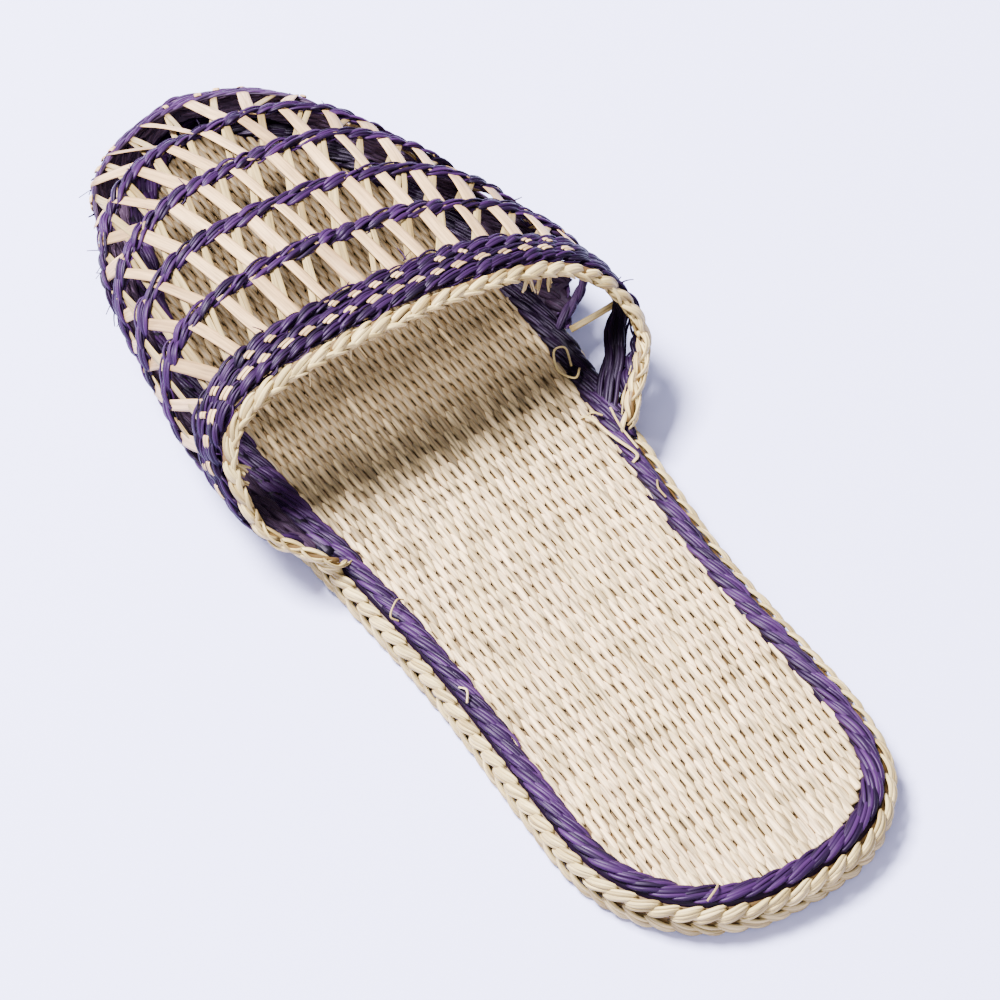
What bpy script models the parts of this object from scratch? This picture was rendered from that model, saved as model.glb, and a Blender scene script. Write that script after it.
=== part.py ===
"""Straw slide sandal: woven sole, open-heeled upper and twined trim.

The sandal stands on the floor plane Z = 0. +X runs from heel to toe, +Y to the
wearer's left, +Z up. The origin lies on the underside, below the centre of the
heel's round. Sizes here are in millimetres; MM turns them into metres.
"""
import math

import bmesh
import bpy
import numpy as np

MM = 0.001
GAP = 0.3                       # clearance between two pieces that touch

# Sole outline, seen from above.
HEEL_LENGTH = 39.2              # heel centre to the back of the heel
HEEL_POWERS = (2.15, 2.6)       # left and right; 2 is a round heel, larger is squarer
BALL_X = 145.0                  # where the toe's round begins
TOE_LENGTH = 82.0               # ball to the tip of the sole
TOE_POWER = 1.8
SIDE_TABLE = (
    # x along the sole, left half width, right half width
    (0.0, 37.9, 38.6),
    (40.0, 37.5, 37.2),
    (66.0, 38.7, 38.9),
    (84.0, 40.2, 40.5),
    (120.0, 43.3, 43.3),
    (BALL_X, 43.8, 43.8),
)
SIDE_STEP = 10.0                # spacing of the outline's points along the sides
ROUND_STEPS = 16                # segments in the heel's and in the toe's round
COLLAR_FACETS = 2               # roundness of a braid's section
SIDE_FACETS = 1

# Sole layers, as heights above the floor and insets from the outline.
OUTSOLE_TOP = 4.0
BRAID_HALF_WIDTH = 1.35         # a side braid is a flat plait on its edge
BRAID_HALF_HEIGHT = 2.15
LOWER_BRAID_Z = 2.35
UPPER_BRAID_Z = 7.0
MAT_BOTTOM = OUTSOLE_TOP + GAP
INSOLE_TOP = 8.5
BORDER_TOP = 9.4
OUTSOLE_INSET = 2 * BRAID_HALF_WIDTH + GAP
BORDER_WIDTH = 4.4
INSOLE_INSET = OUTSOLE_INSET + BORDER_WIDTH + GAP

# Upper, as the outer face of its wall.
WALL = 2.0
BASE_Z = BORDER_TOP + GAP       # the wall stands on the border and the side braid
BASE_INSET = 1.6                # the wall's foot from the sole's outline
BASE_SHARE = 0.96               # the foot is never wider than this share of the width
SECTION_POWER = 2.5             # squareness of the arch above its widest point
WIDEST_Z = 17.8                 # height of the widest point where the upper is tall
WIDEST_SHARE = 0.5              # the same as a share of the height, at the low toe
WIDEST_V = 0.75                 # widest point: v is 0 on the ridge and 1 at the base
TIP_X = 228.0
NOSE_X = 224.5                  # last full section; a small round nose lies ahead
NOSE_ANGLES = (math.radians(30), math.radians(55), math.radians(75))
WALL_ACROSS = 41                # points across the wall, base to base
WALL_ALONG = 20                 # points along the wall, collar to nose
MERGE = 1e-6                    # points nearer than this, in metres, are one
UPPER_TABLE = (
    # x along the sole, left half width, right half width, ridge height, ridge offset
    (85.0, 49.0, 44.5, 47.3, 6.7),
    (95.0, 50.0, 51.0, 46.6, 6.7),
    (105.0, 50.4, 55.2, 45.8, 6.7),
    (125.0, 50.5, 54.6, 42.5, 6.7),
    (150.0, 47.4, 48.6, 39.7, 6.7),
    (175.0, 43.0, 39.3, 37.4, 6.5),
    (195.0, 35.6, 31.2, 32.6, 5.6),
    (210.0, 28.6, 24.8, 24.0, 4.2),
    (220.0, 19.4, 18.3, 18.8, 2.6),
    (TIP_X, 0.0, 0.0, 15.0, 1.0),
)

# Collar: the line of the edge braid, as x against v on each side.
COLLAR_RADIUS = 2.3
COLLAR_END_Z = 12.4             # the braid's ends rest on the sole's edge
WALL_START = COLLAR_RADIUS + 1.7  # the wall begins this far ahead of the braid's centre
COLLAR_STEPS = 61
COLLAR_GRID = 81                # samples of the collar's line when it is offset
COLLAR_SECTION_X = 100.0        # the section along which that line's lengths are measured
COLLAR_TABLE = (
    # v from ridge to base, x on the left, x on the right
    (0.00, 115.8, 115.8),
    (0.25, 115.5, 115.7),
    (0.50, 112.8, 113.2),
    (0.65, 107.5, 108.5),
    (0.75, 100.5, 102.5),
    (0.88, 93.0, 94.0),
    (1.00, 86.0, 86.5),
)

# Twined trim, proud of the wall.
TRIM = 1.4                      # thickness of the proud pieces
TRIM_GAP = 0.5                  # set off the smooth wall, about GAP clear of its facets
TRIM_START = WALL_START + GAP
BAND_WIDTH = 4.6
BAND_END_V = WIDEST_V - 0.02    # the bands stop just above the side walls
BAND_ACROSS = 25                # points across a band, end to end
SWEEP_POWER = 2.2               # how sharply a band turns back at the sides
COLLAR_BAND_FRONT = (131.0, 13.0, 0.0)
CAP_EDGE = (222.0, 27.0, 0.0)
CAP_BASE_V = 0.93               # the side walls stop short of the flared base
CAP_ACROSS = 13                 # points on each side, base to upper edge
CAP_FADE = 30.0                 # length over which the sections turn from the collar's slant
CAP_WALL_STEPS = 9
CAP_EDGE_STEPS = 12
CAP_FRONT_STEPS = 3
CROSS_BANDS = (
    # x on the ridge, how far the ends lie back, skew towards one side
    (201.6, 28.0, 0.5),
    (181.4, 20.0, 1.5),
    (163.9, 19.0, -1.0),
    (146.8, 18.0, -1.5),
)

STRAW = (0.69, 0.60, 0.47, 1.0)
SHADED_STRAW = (0.55, 0.45, 0.33, 1.0)
PURPLE = (0.055, 0.018, 0.115, 1.0)


def smooth(table, column, x):
    """Read one column of a table on a smooth curve through its rows, by its first column."""
    xs = np.array([row[0] for row in table])
    ys = np.array([row[column] for row in table])
    steps = np.diff(xs)
    rises = np.diff(ys) / steps
    slopes = np.zeros(len(xs))
    same_way = rises[:-1] * rises[1:] > 0
    mean = (rises[:-1] * steps[1:] + rises[1:] * steps[:-1]) / (steps[:-1] + steps[1:])
    slopes[1:-1] = np.where(same_way, mean, 0.0)
    i = int(np.clip(np.searchsorted(xs, x) - 1, 0, len(steps) - 1))
    t = min(max((x - xs[i]) / steps[i], 0.0), 1.0)
    blend = t * t * (3 - 2 * t)
    start = slopes[i] * steps[i] * t * (1 - t) ** 2
    end = slopes[i + 1] * steps[i] * t * t * (1 - t)
    return float(ys[i] + (ys[i + 1] - ys[i]) * blend + start - end)


def sole_half_width(x, side, inset=0.0):
    """Half width of the sole at x, on the left (side 1) or the right (side -1)."""
    if x > BALL_X:
        reach = (x - BALL_X) / (TOE_LENGTH - inset)
        width = SIDE_TABLE[-1][1] - inset
        return width * max(1 - reach ** TOE_POWER, 0.0) ** (1 / TOE_POWER)
    return smooth(SIDE_TABLE, 1 if side > 0 else 2, x) - inset


def round_end(centre_x, length, widths, powers, first_angle):
    """A rounded end, anticlockwise over 180 degrees; widths and powers are (left, right)."""
    points = []
    for step in range(ROUND_STEPS + 1):
        angle = first_angle + math.pi * step / ROUND_STEPS
        c, s = math.cos(angle), math.sin(angle)
        width, power = (widths[0], powers[0]) if s > 0 else (widths[1], powers[1])
        x = centre_x + length * math.copysign(abs(c) ** (2 / power), c)
        y = width * math.copysign(abs(s) ** (2 / power), s)
        points.append((x, y))
    return points


def sole_outline(inset):
    """The sole's closed outline, anticlockwise, moved inwards by inset."""
    toe_powers = (TOE_POWER, TOE_POWER)
    heel = round_end(0.0, HEEL_LENGTH, SIDE_TABLE[0][1:], HEEL_POWERS, math.pi / 2)
    toe = round_end(BALL_X, TOE_LENGTH, SIDE_TABLE[-1][1:], toe_powers, -math.pi / 2)
    stations = np.arange(SIDE_STEP, BALL_X - SIDE_STEP / 2, SIDE_STEP)
    right = [(x, -sole_half_width(x, -1)) for x in stations]
    left = [(x, sole_half_width(x, 1)) for x in stations[::-1]]
    loop = np.array(heel + right + toe + left)
    along = np.roll(loop, -1, axis=0) - np.roll(loop, 1, axis=0)
    inward = np.stack([-along[:, 1], along[:, 0]], axis=1)
    inward /= np.linalg.norm(inward, axis=1)[:, None]
    return loop + inward * inset


def upper_section(x, v):
    """Point on the upper's outer face: x along the sole, v from -1 (right base) to 1 (left)."""
    side = 1 if v >= 0 else -1
    from_tip = [(math.sqrt(TIP_X - row[0]),) + row[1:] for row in reversed(UPPER_TABLE)]
    q = math.sqrt(max(TIP_X - x, 0.0))
    widest = smooth(from_tip, 1 if side > 0 else 2, q)
    ridge = smooth(from_tip, 3, q)
    lean = smooth(from_tip, 4, q)
    widest_z = min(WIDEST_Z, BASE_Z + WIDEST_SHARE * (ridge - BASE_Z))
    base = min(sole_half_width(x, side, BASE_INSET), BASE_SHARE * widest)
    if abs(v) <= WIDEST_V:
        angle = 0.5 * math.pi * abs(v) / WIDEST_V
        y = widest * math.sin(angle) ** (2 / SECTION_POWER)
        z = widest_z + (ridge - widest_z) * math.cos(angle) ** (2 / SECTION_POWER)
    else:
        drop = (abs(v) - WIDEST_V) / (1 - WIDEST_V)
        y = base + (widest - base) * math.cos(0.5 * math.pi * drop)
        z = widest_z + (BASE_Z - widest_z) * drop
    lean_share = (z - BASE_Z) / (ridge - BASE_Z)
    return np.array([x, side * y + lean * lean_share, z])


def upper_point(x, v, offset=0.0):
    """Point on the upper's outer face, moved along the outward normal by offset."""
    point = upper_section(x, v)
    if offset == 0.0:
        return point
    step_x, step_v = 0.5, 0.02
    inner_v = v - math.copysign(step_v, v)
    along_x = upper_section(x - step_x, v) - point
    along_v = (upper_section(x, inner_v) - point) * math.copysign(1.0, v)
    normal = np.cross(along_x, along_v)
    normal /= np.linalg.norm(normal)
    return point + normal * offset


def collar_x(v, ahead=0.0):
    """x of the collar's line at v, or of a line that runs a set distance ahead of it."""
    grid = np.linspace(0.0, 1.0, COLLAR_GRID)
    column = 1 if v >= 0 else 2
    line_x = np.array([smooth(COLLAR_TABLE, column, g) for g in grid])
    points = np.array([upper_section(COLLAR_SECTION_X, math.copysign(g, v)) for g in grid])
    lengths = np.concatenate([[0.0], np.cumsum(np.linalg.norm(np.diff(points, axis=0), axis=1))])
    dx = np.gradient(line_x)
    ds = np.gradient(lengths)
    size = np.hypot(dx, ds)
    ahead_x = line_x + ahead * ds / size
    ahead_s = lengths - ahead * dx / size
    return float(np.interp(np.interp(abs(v), grid, lengths), ahead_s, ahead_x))


def swept_x(line, v):
    """x at v of a line across the upper that turns back towards its two ends."""
    ridge_x, sweep, skew = line
    share = min(abs(v) / WIDEST_V, 1.0)
    return ridge_x - sweep * share ** SWEEP_POWER - skew * math.sin(0.5 * math.pi * v / WIDEST_V)


def toward_tip(start, end, count):
    """x stations from start to end that crowd together towards the tip."""
    q = np.linspace(math.sqrt(TIP_X - start), math.sqrt(TIP_X - end), count)
    return TIP_X - q ** 2


def material(name, colour, roughness):
    """A plain Principled material."""
    made = bpy.data.materials.new(name)
    made.use_nodes = True
    shader = made.node_tree.nodes["Principled BSDF"]
    shader.inputs["Base Color"].default_value = colour
    shader.inputs["Roughness"].default_value = roughness
    shader.inputs["Metallic"].default_value = 0.0
    return made


def place(name, data, collection, look):
    """Link a mesh or curve as a named object with one material."""
    made = bpy.data.objects.new(name, data)
    data.materials.append(material(name + "_look", *look))
    collection.objects.link(made)
    return made


def poly_spline(curve, points, cyclic):
    """Add a straight-sided spline through points in millimetres."""
    spline = curve.splines.new("POLY")
    spline.points.add(len(points) - 1)
    for target, (x, y, z) in zip(spline.points, points):
        target.co = (x * MM, y * MM, z * MM, 1.0)
    spline.use_cyclic_u = cyclic


def flat_plate(name, insets, bottom, top, collection, look):
    """A flat plate of the sole's outline, with a second inset as its hole if one is given."""
    curve = bpy.data.curves.new(name, "CURVE")
    curve.dimensions = "2D"
    curve.fill_mode = "BOTH"
    curve.extrude = (top - bottom) / 2 * MM
    for inset in insets:
        poly_spline(curve, [(x, y, 0.0) for x, y in sole_outline(inset)], True)
    plate = place(name, curve, collection, look)
    plate.location.z = (top + bottom) / 2 * MM
    return plate


def rope(name, points, radius, stretch, collection, look):
    """A braid along points: round and capped, or stretched upwards into a closed loop."""
    curve = bpy.data.curves.new(name, "CURVE")
    curve.dimensions = "3D"
    curve.fill_mode = "FULL"
    curve.twist_mode = "Z_UP"
    curve.bevel_depth = radius * MM
    curve.extrude = stretch * MM
    closed = stretch > 0.0
    curve.bevel_resolution = SIDE_FACETS if closed else COLLAR_FACETS
    curve.use_fill_caps = not closed
    poly_spline(curve, points, closed)
    return place(name, curve, collection, look)


def side_braid(name, height, collection, look):
    """A braid all round the sole's edge at one height."""
    points = [(x, y, height) for x, y in sole_outline(BRAID_HALF_WIDTH)]
    stretch = BRAID_HALF_HEIGHT - BRAID_HALF_WIDTH
    return rope(name, points, BRAID_HALF_WIDTH, stretch, collection, look)


def add_rows(mesh, rows, halves=1):
    """Faces between rows of points; with two halves the middle is left open."""
    verts = [[mesh.verts.new(tuple(np.asarray(p) * MM)) for p in row] for row in rows]
    for near, far in zip(verts, verts[1:]):
        span = len(near) // halves
        for half in range(halves):
            for j in range(half * span, (half + 1) * span - 1):
                mesh.faces.new((near[j], near[j + 1], far[j + 1], far[j]))
    return verts


def add_nose(mesh, last_row, across, offset, closed):
    """Close the toe ahead of the last section with a small nose, its apex low at the front."""
    section = [upper_point(NOSE_X, v) for v in across]
    normals = [upper_point(NOSE_X, v, 1.0) - point for v, point in zip(across, section)]
    apex_y = upper_point(NOSE_X, 0.0)[1]
    centre = np.array([NOSE_X, apex_y, upper_point(NOSE_X, CAP_BASE_V)[2]])
    previous = last_row
    last = len(last_row) if closed else len(last_row) - 1
    for angle in NOSE_ANGLES:
        ring = []
        for point, normal in zip(section, normals):
            moved = centre + (point - centre) * math.cos(angle)
            moved[0] = NOSE_X + (TIP_X - NOSE_X) * math.sin(angle)
            outward = normal * math.cos(angle) + np.array([math.sin(angle), 0.0, 0.0])
            moved += outward * offset / np.linalg.norm(outward)
            ring.append(mesh.verts.new(tuple(moved * MM)))
        for j in range(last):
            k = (j + 1) % len(ring)
            mesh.faces.new((previous[j], previous[k], ring[k], ring[j]))
        previous = ring
    tip = mesh.verts.new(((TIP_X + offset) * MM, centre[1] * MM, centre[2] * MM))
    for j in range(last):
        mesh.faces.new((previous[j], previous[(j + 1) % len(previous)], tip))


def finish_shell(name, mesh, thickness, outward, collection, look):
    """Turn an open surface into a wall that grows outwards or inwards."""
    bmesh.ops.remove_doubles(mesh, verts=mesh.verts, dist=MERGE)
    highest = max(mesh.faces, key=lambda face: face.calc_center_median().z)
    if highest.normal.z < 0:
        bmesh.ops.reverse_faces(mesh, faces=mesh.faces)
    data = bpy.data.meshes.new(name)
    mesh.to_mesh(data)
    mesh.free()
    data.shade_smooth()
    shell = place(name, data, collection, look)
    wall = shell.modifiers.new("Wall", "SOLIDIFY")
    wall.thickness = thickness * MM
    wall.offset = 1.0 if outward else -1.0
    wall.use_even_offset = True
    return shell


def upper(collection, look):
    """The hollow wall of the upper, open at the collar and underneath."""
    across = np.linspace(-1.0, 1.0, WALL_ACROSS)
    columns = [toward_tip(collar_x(v, WALL_START), NOSE_X, WALL_ALONG) for v in across]
    rows = [[upper_point(x, v) for x, v in zip(stations, across)] for stations in zip(*columns)]
    mesh = bmesh.new()
    verts = add_rows(mesh, rows)
    add_nose(mesh, verts[-1], across, 0.0, closed=True)
    return finish_shell("upper", mesh, WALL, False, collection, look)


def cap_top_v(x):
    """v of the toe cap's upper edge at x: the side wall's top, then up over the ridge."""
    ridge_x, sweep, _ = CAP_EDGE
    share = min(max((ridge_x - x) / sweep, 0.0), 1.0)
    return WIDEST_V * share ** (1 / SWEEP_POWER)


def toe_cap(collection, look):
    """The proud toe cap and the low side walls that run back from it to the collar."""
    start_x = collar_x(WIDEST_V, TRIM_START)
    ridge_x, sweep, _ = CAP_EDGE
    stations = np.concatenate([
        np.linspace(start_x, ridge_x - sweep, CAP_WALL_STEPS)[:-1],
        ridge_x - sweep * np.linspace(1.0, 0.0, CAP_EDGE_STEPS) ** SWEEP_POWER,
        toward_tip(ridge_x, NOSE_X, CAP_FRONT_STEPS)[1:],
    ])
    mesh = bmesh.new()
    rows = []
    for station in stations:
        slant = max(1 - (station - start_x) / CAP_FADE, 0.0)
        half = []
        for v in np.linspace(CAP_BASE_V, cap_top_v(station), CAP_ACROSS):
            half.append((station - slant * (start_x - collar_x(v, TRIM_START)), v))
        left = [upper_point(x, v, TRIM_GAP) for x, v in half]
        right = [upper_point(x, 0.0 - v, TRIM_GAP) for x, v in reversed(half)]
        rows.append(left + right)
    verts = add_rows(mesh, rows, halves=2)
    half = np.linspace(CAP_BASE_V, 0.0, CAP_ACROSS)
    across = np.concatenate([half, 0.0 - half[::-1]])
    add_nose(mesh, verts[-1], across, TRIM_GAP, closed=False)
    return finish_shell("toe_cap", mesh, TRIM, True, collection, look)


def strip(name, back, front, collection, look):
    """A proud strip across the upper between two lines, each giving x at v."""
    across = np.linspace(-BAND_END_V, BAND_END_V, BAND_ACROSS)
    rows = [[upper_point(line(v), v, TRIM_GAP) for v in across]
            for line in (back, lambda v: (back(v) + front(v)) / 2, front)]
    mesh = bmesh.new()
    add_rows(mesh, rows)
    return finish_shell(name, mesh, TRIM, True, collection, look)


def cross_band(name, line, collection, look):
    """One twined band across the upper, centred on its line."""
    half = BAND_WIDTH / 2
    return strip(name, lambda v: swept_x(line, v) - half, lambda v: swept_x(line, v) + half,
                 collection, look)


def collar_braid(collection, look):
    """The edge braid round the collar, centred in the wall, from sole edge to sole edge."""
    points = []
    for v in np.linspace(-1.0, 1.0, COLLAR_STEPS):
        x, y, z = upper_point(collar_x(v), v, -WALL / 2)
        if z >= COLLAR_END_Z:
            points.append((x, y, z))
    return rope("collar_braid", points, COLLAR_RADIUS, 0.0, collection, look)


def main():
    """Clear the scene and build every piece of the sandal."""
    for old in list(bpy.data.objects):
        bpy.data.objects.remove(old, do_unlink=True)
    sandal = bpy.data.collections.new("straw_slide_sandal")
    bpy.context.scene.collection.children.link(sandal)

    straw = (STRAW, 0.6)
    purple = (PURPLE, 0.4)
    flat_plate("outsole", [OUTSOLE_INSET], 0.0, OUTSOLE_TOP, sandal, (SHADED_STRAW, 0.7))
    flat_plate("insole", [INSOLE_INSET], MAT_BOTTOM, INSOLE_TOP, sandal, straw)
    flat_plate("insole_border", [OUTSOLE_INSET, OUTSOLE_INSET + BORDER_WIDTH],
               MAT_BOTTOM, BORDER_TOP, sandal, purple)
    side_braid("side_braid_lower", LOWER_BRAID_Z, sandal, straw)
    side_braid("side_braid_upper", UPPER_BRAID_Z, sandal, straw)
    upper(sandal, straw)
    toe_cap(sandal, purple)
    strip("collar_band", lambda v: collar_x(v, TRIM_START),
          lambda v: swept_x(COLLAR_BAND_FRONT, v), sandal, purple)
    for number, line in enumerate(CROSS_BANDS, start=1):
        cross_band("cross_band_%d" % number, line, sandal, purple)
    collar_braid(sandal, straw)


main()
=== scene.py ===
"""Straw slide sandal: plaited sole, open crossed upper, purple twining and braided edges.

The script dresses the packed sandal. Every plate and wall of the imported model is
replaced by the straws that it stands for: grains of the woven mats, stitches of the
plaits and twines, crossed ribbons of the upper. Sizes here are in millimetres in the
sandal's own frame: the floor is Z = 0, +X runs from heel to toe, +Y to the wearer's left.
"""
import logging
import math
from dataclasses import dataclass, field, replace
from enum import Enum
from functools import cached_property

import bpy
import numpy as np
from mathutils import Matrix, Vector


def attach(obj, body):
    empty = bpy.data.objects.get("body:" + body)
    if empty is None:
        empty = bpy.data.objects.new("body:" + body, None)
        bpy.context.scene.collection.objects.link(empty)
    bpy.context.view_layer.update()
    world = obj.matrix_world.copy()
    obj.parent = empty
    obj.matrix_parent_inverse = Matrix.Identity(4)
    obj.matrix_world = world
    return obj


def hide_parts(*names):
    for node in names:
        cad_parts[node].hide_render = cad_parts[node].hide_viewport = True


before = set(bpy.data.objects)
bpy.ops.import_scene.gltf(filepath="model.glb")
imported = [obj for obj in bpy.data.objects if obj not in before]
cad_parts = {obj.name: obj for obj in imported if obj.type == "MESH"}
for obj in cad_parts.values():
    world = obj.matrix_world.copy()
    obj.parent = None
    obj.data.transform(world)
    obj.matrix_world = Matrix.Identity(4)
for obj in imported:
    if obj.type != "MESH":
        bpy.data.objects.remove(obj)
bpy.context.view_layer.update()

LOG = logging.getLogger("sandal")
MM = 0.001
BODY = "root"
CORE_STEP = 1.5
WHITE = (1.0, 1.0, 1.0)

# Two numbers: where a change starts and ends, or a size and how much it varies
Span = tuple[float, float]
Place = tuple[float, float, float]
Colour = tuple[float, float, float]
Table = tuple[tuple[float, ...], ...]


def smooth(table: Table, column: int, x: np.ndarray) -> np.ndarray:
    """Read one column of a table on a smooth curve through its rows.

    Args:
        table: Rows whose first column rises.
        column: The column to read.
        x: Places in the first column.

    Returns:
        The column's values at x.
    """
    rows = np.array(table)
    xs, ys = rows[:, 0], rows[:, column]
    steps = np.diff(xs)
    rises = np.diff(ys) / steps
    slopes = np.zeros(len(xs))
    mean = (rises[:-1] * steps[1:] + rises[1:] * steps[:-1]) / (steps[:-1] + steps[1:])
    slopes[1:-1] = np.where(rises[:-1] * rises[1:] > 0, mean, 0.0)
    i = np.clip(np.searchsorted(xs, x) - 1, 0, len(steps) - 1)
    t = np.clip((x - xs[i]) / steps[i], 0.0, 1.0)
    start = slopes[i] * steps[i] * t * (1 - t) ** 2
    end = slopes[i + 1] * steps[i] * t * t * (1 - t)
    return ys[i] + (ys[i + 1] - ys[i]) * t * t * (3 - 2 * t) + start - end


def unit(vectors: np.ndarray) -> np.ndarray:
    """Vectors of length one, along the last axis."""
    return vectors / np.maximum(np.linalg.norm(vectors, axis=-1, keepdims=True), 1e-12)


def ease(value: np.ndarray, low: float, high: float) -> np.ndarray:
    """A smooth step from 0 at low to 1 at high."""
    t = np.clip((value - low) / (high - low), 0.0, 1.0)
    return t * t * (3 - 2 * t)


def blend(low: float, high: float, share: np.ndarray) -> np.ndarray:
    """A number that is low at a share of 0 and high at a share of 1."""
    return low + (high - low) * share


def run_along(points: np.ndarray) -> np.ndarray:
    """Length of a line of points up to each of them."""
    steps = np.linalg.norm(np.diff(points, axis=0), axis=1)
    return np.concatenate([[0.0], np.cumsum(steps)])


def at_lengths(s: np.ndarray, lengths: np.ndarray, rows: np.ndarray) -> np.ndarray:
    """Rows of numbers read at distances s along a line whose own distances are lengths."""
    return np.stack([np.interp(s, lengths, column) for column in rows.T], axis=-1)


# --- lines and strands -----------------------------------------------------------------


class Section(Enum):
    """Cross-section of a strand as (across, up) points, for half sizes of one."""

    RIBBON = ((-1.0, -0.45), (-0.6, -1.0), (0.6, -1.0), (1.0, -0.45),
              (1.0, 0.45), (0.6, 1.0), (-0.6, 1.0), (-1.0, 0.45))
    STRAW = ((-1.0, -0.1), (-0.55, -1.0), (0.55, -1.0), (1.0, -0.1), (0.5, 1.0), (-0.5, 1.0))
    GRAIN = ((-1.0, -1.0), (1.0, -1.0), (0.66, 0.45), (0.0, 1.0), (-0.66, 0.45))
    CORE = ((-1.0, -0.6), (-0.6, -1.0), (0.6, -1.0), (1.0, -0.6),
            (1.0, 0.6), (0.6, 1.0), (-0.6, 1.0), (-1.0, 0.6))


@dataclass(frozen=True)
class Course:
    """A line that stitches follow: dense points and their outward normals."""

    points: np.ndarray
    normals: np.ndarray
    closed: bool = False

    @cached_property
    def dense(self) -> tuple[np.ndarray, np.ndarray, np.ndarray, np.ndarray]:
        """Lengths, points, tangents and normals, with the start repeated if closed.

        Returns:
            Four arrays with a row for each point.
        """
        points, normals = self.points, self.normals
        if self.closed:
            points = np.vstack([points, points[:1]])
            normals = np.vstack([normals, normals[:1]])
        lengths = run_along(points)
        tangents = np.gradient(points, lengths, axis=0)
        if self.closed:
            ends = unit(tangents[0] + tangents[-1])
            tangents[0] = tangents[-1] = ends
        return lengths, points, unit(tangents), unit(normals)

    @property
    def length(self) -> float:
        """The whole line's length."""
        return float(self.dense[0][-1])

    def at(self, s: np.ndarray) -> tuple[np.ndarray, np.ndarray, np.ndarray, np.ndarray]:
        """Points, tangents, sides and normals at distances along the line.

        Args:
            s: Distances from the start, of any shape; past an open end the line runs straight.

        Returns:
            Four arrays of s's shape with three numbers for each place.
        """
        lengths, points, tangents, normals = self.dense
        inside = np.mod(s, lengths[-1]) if self.closed else np.clip(s, 0.0, lengths[-1])
        over = np.zeros_like(s) if self.closed else s - inside
        place, along, up = (at_lengths(inside, lengths, rows)
                            for rows in (points, tangents, normals))
        along = unit(along)
        side = unit(np.cross(up, along))
        up = np.cross(along, side)
        return place + along * over[..., None], along, side, up

    def spread(self, pitch: float, phase: float) -> np.ndarray:
        """Even distances along the line for a row of stitches.

        Args:
            pitch: Wanted spacing; it is rounded to fit the line.
            phase: Place of the first one, as a share of the spacing.

        Returns:
            The distances, rising.
        """
        many = max(int(round(self.length / pitch)), 1)
        return (np.arange(many) + phase) * self.length / many


def put(name: str, data: bpy.types.ID) -> bpy.types.Object:
    """Make an object of a mesh, light or camera and link it to the scene.

    Args:
        name: The object's name.
        data: What it shows.

    Returns:
        The new object.
    """
    made = bpy.data.objects.new(name, data)
    bpy.context.scene.collection.objects.link(made)
    return made


def aim(made: bpy.types.Object, place: Vector, target: Vector) -> None:
    """Put a camera or light at a place so that it looks at a target.

    Args:
        made: The camera or light.
        place: Where it stands.
        target: What it faces.
    """
    made.location = place
    made.rotation_mode = "QUATERNION"
    made.rotation_quaternion = (target - place).to_track_quat("-Z", "Y")


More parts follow.
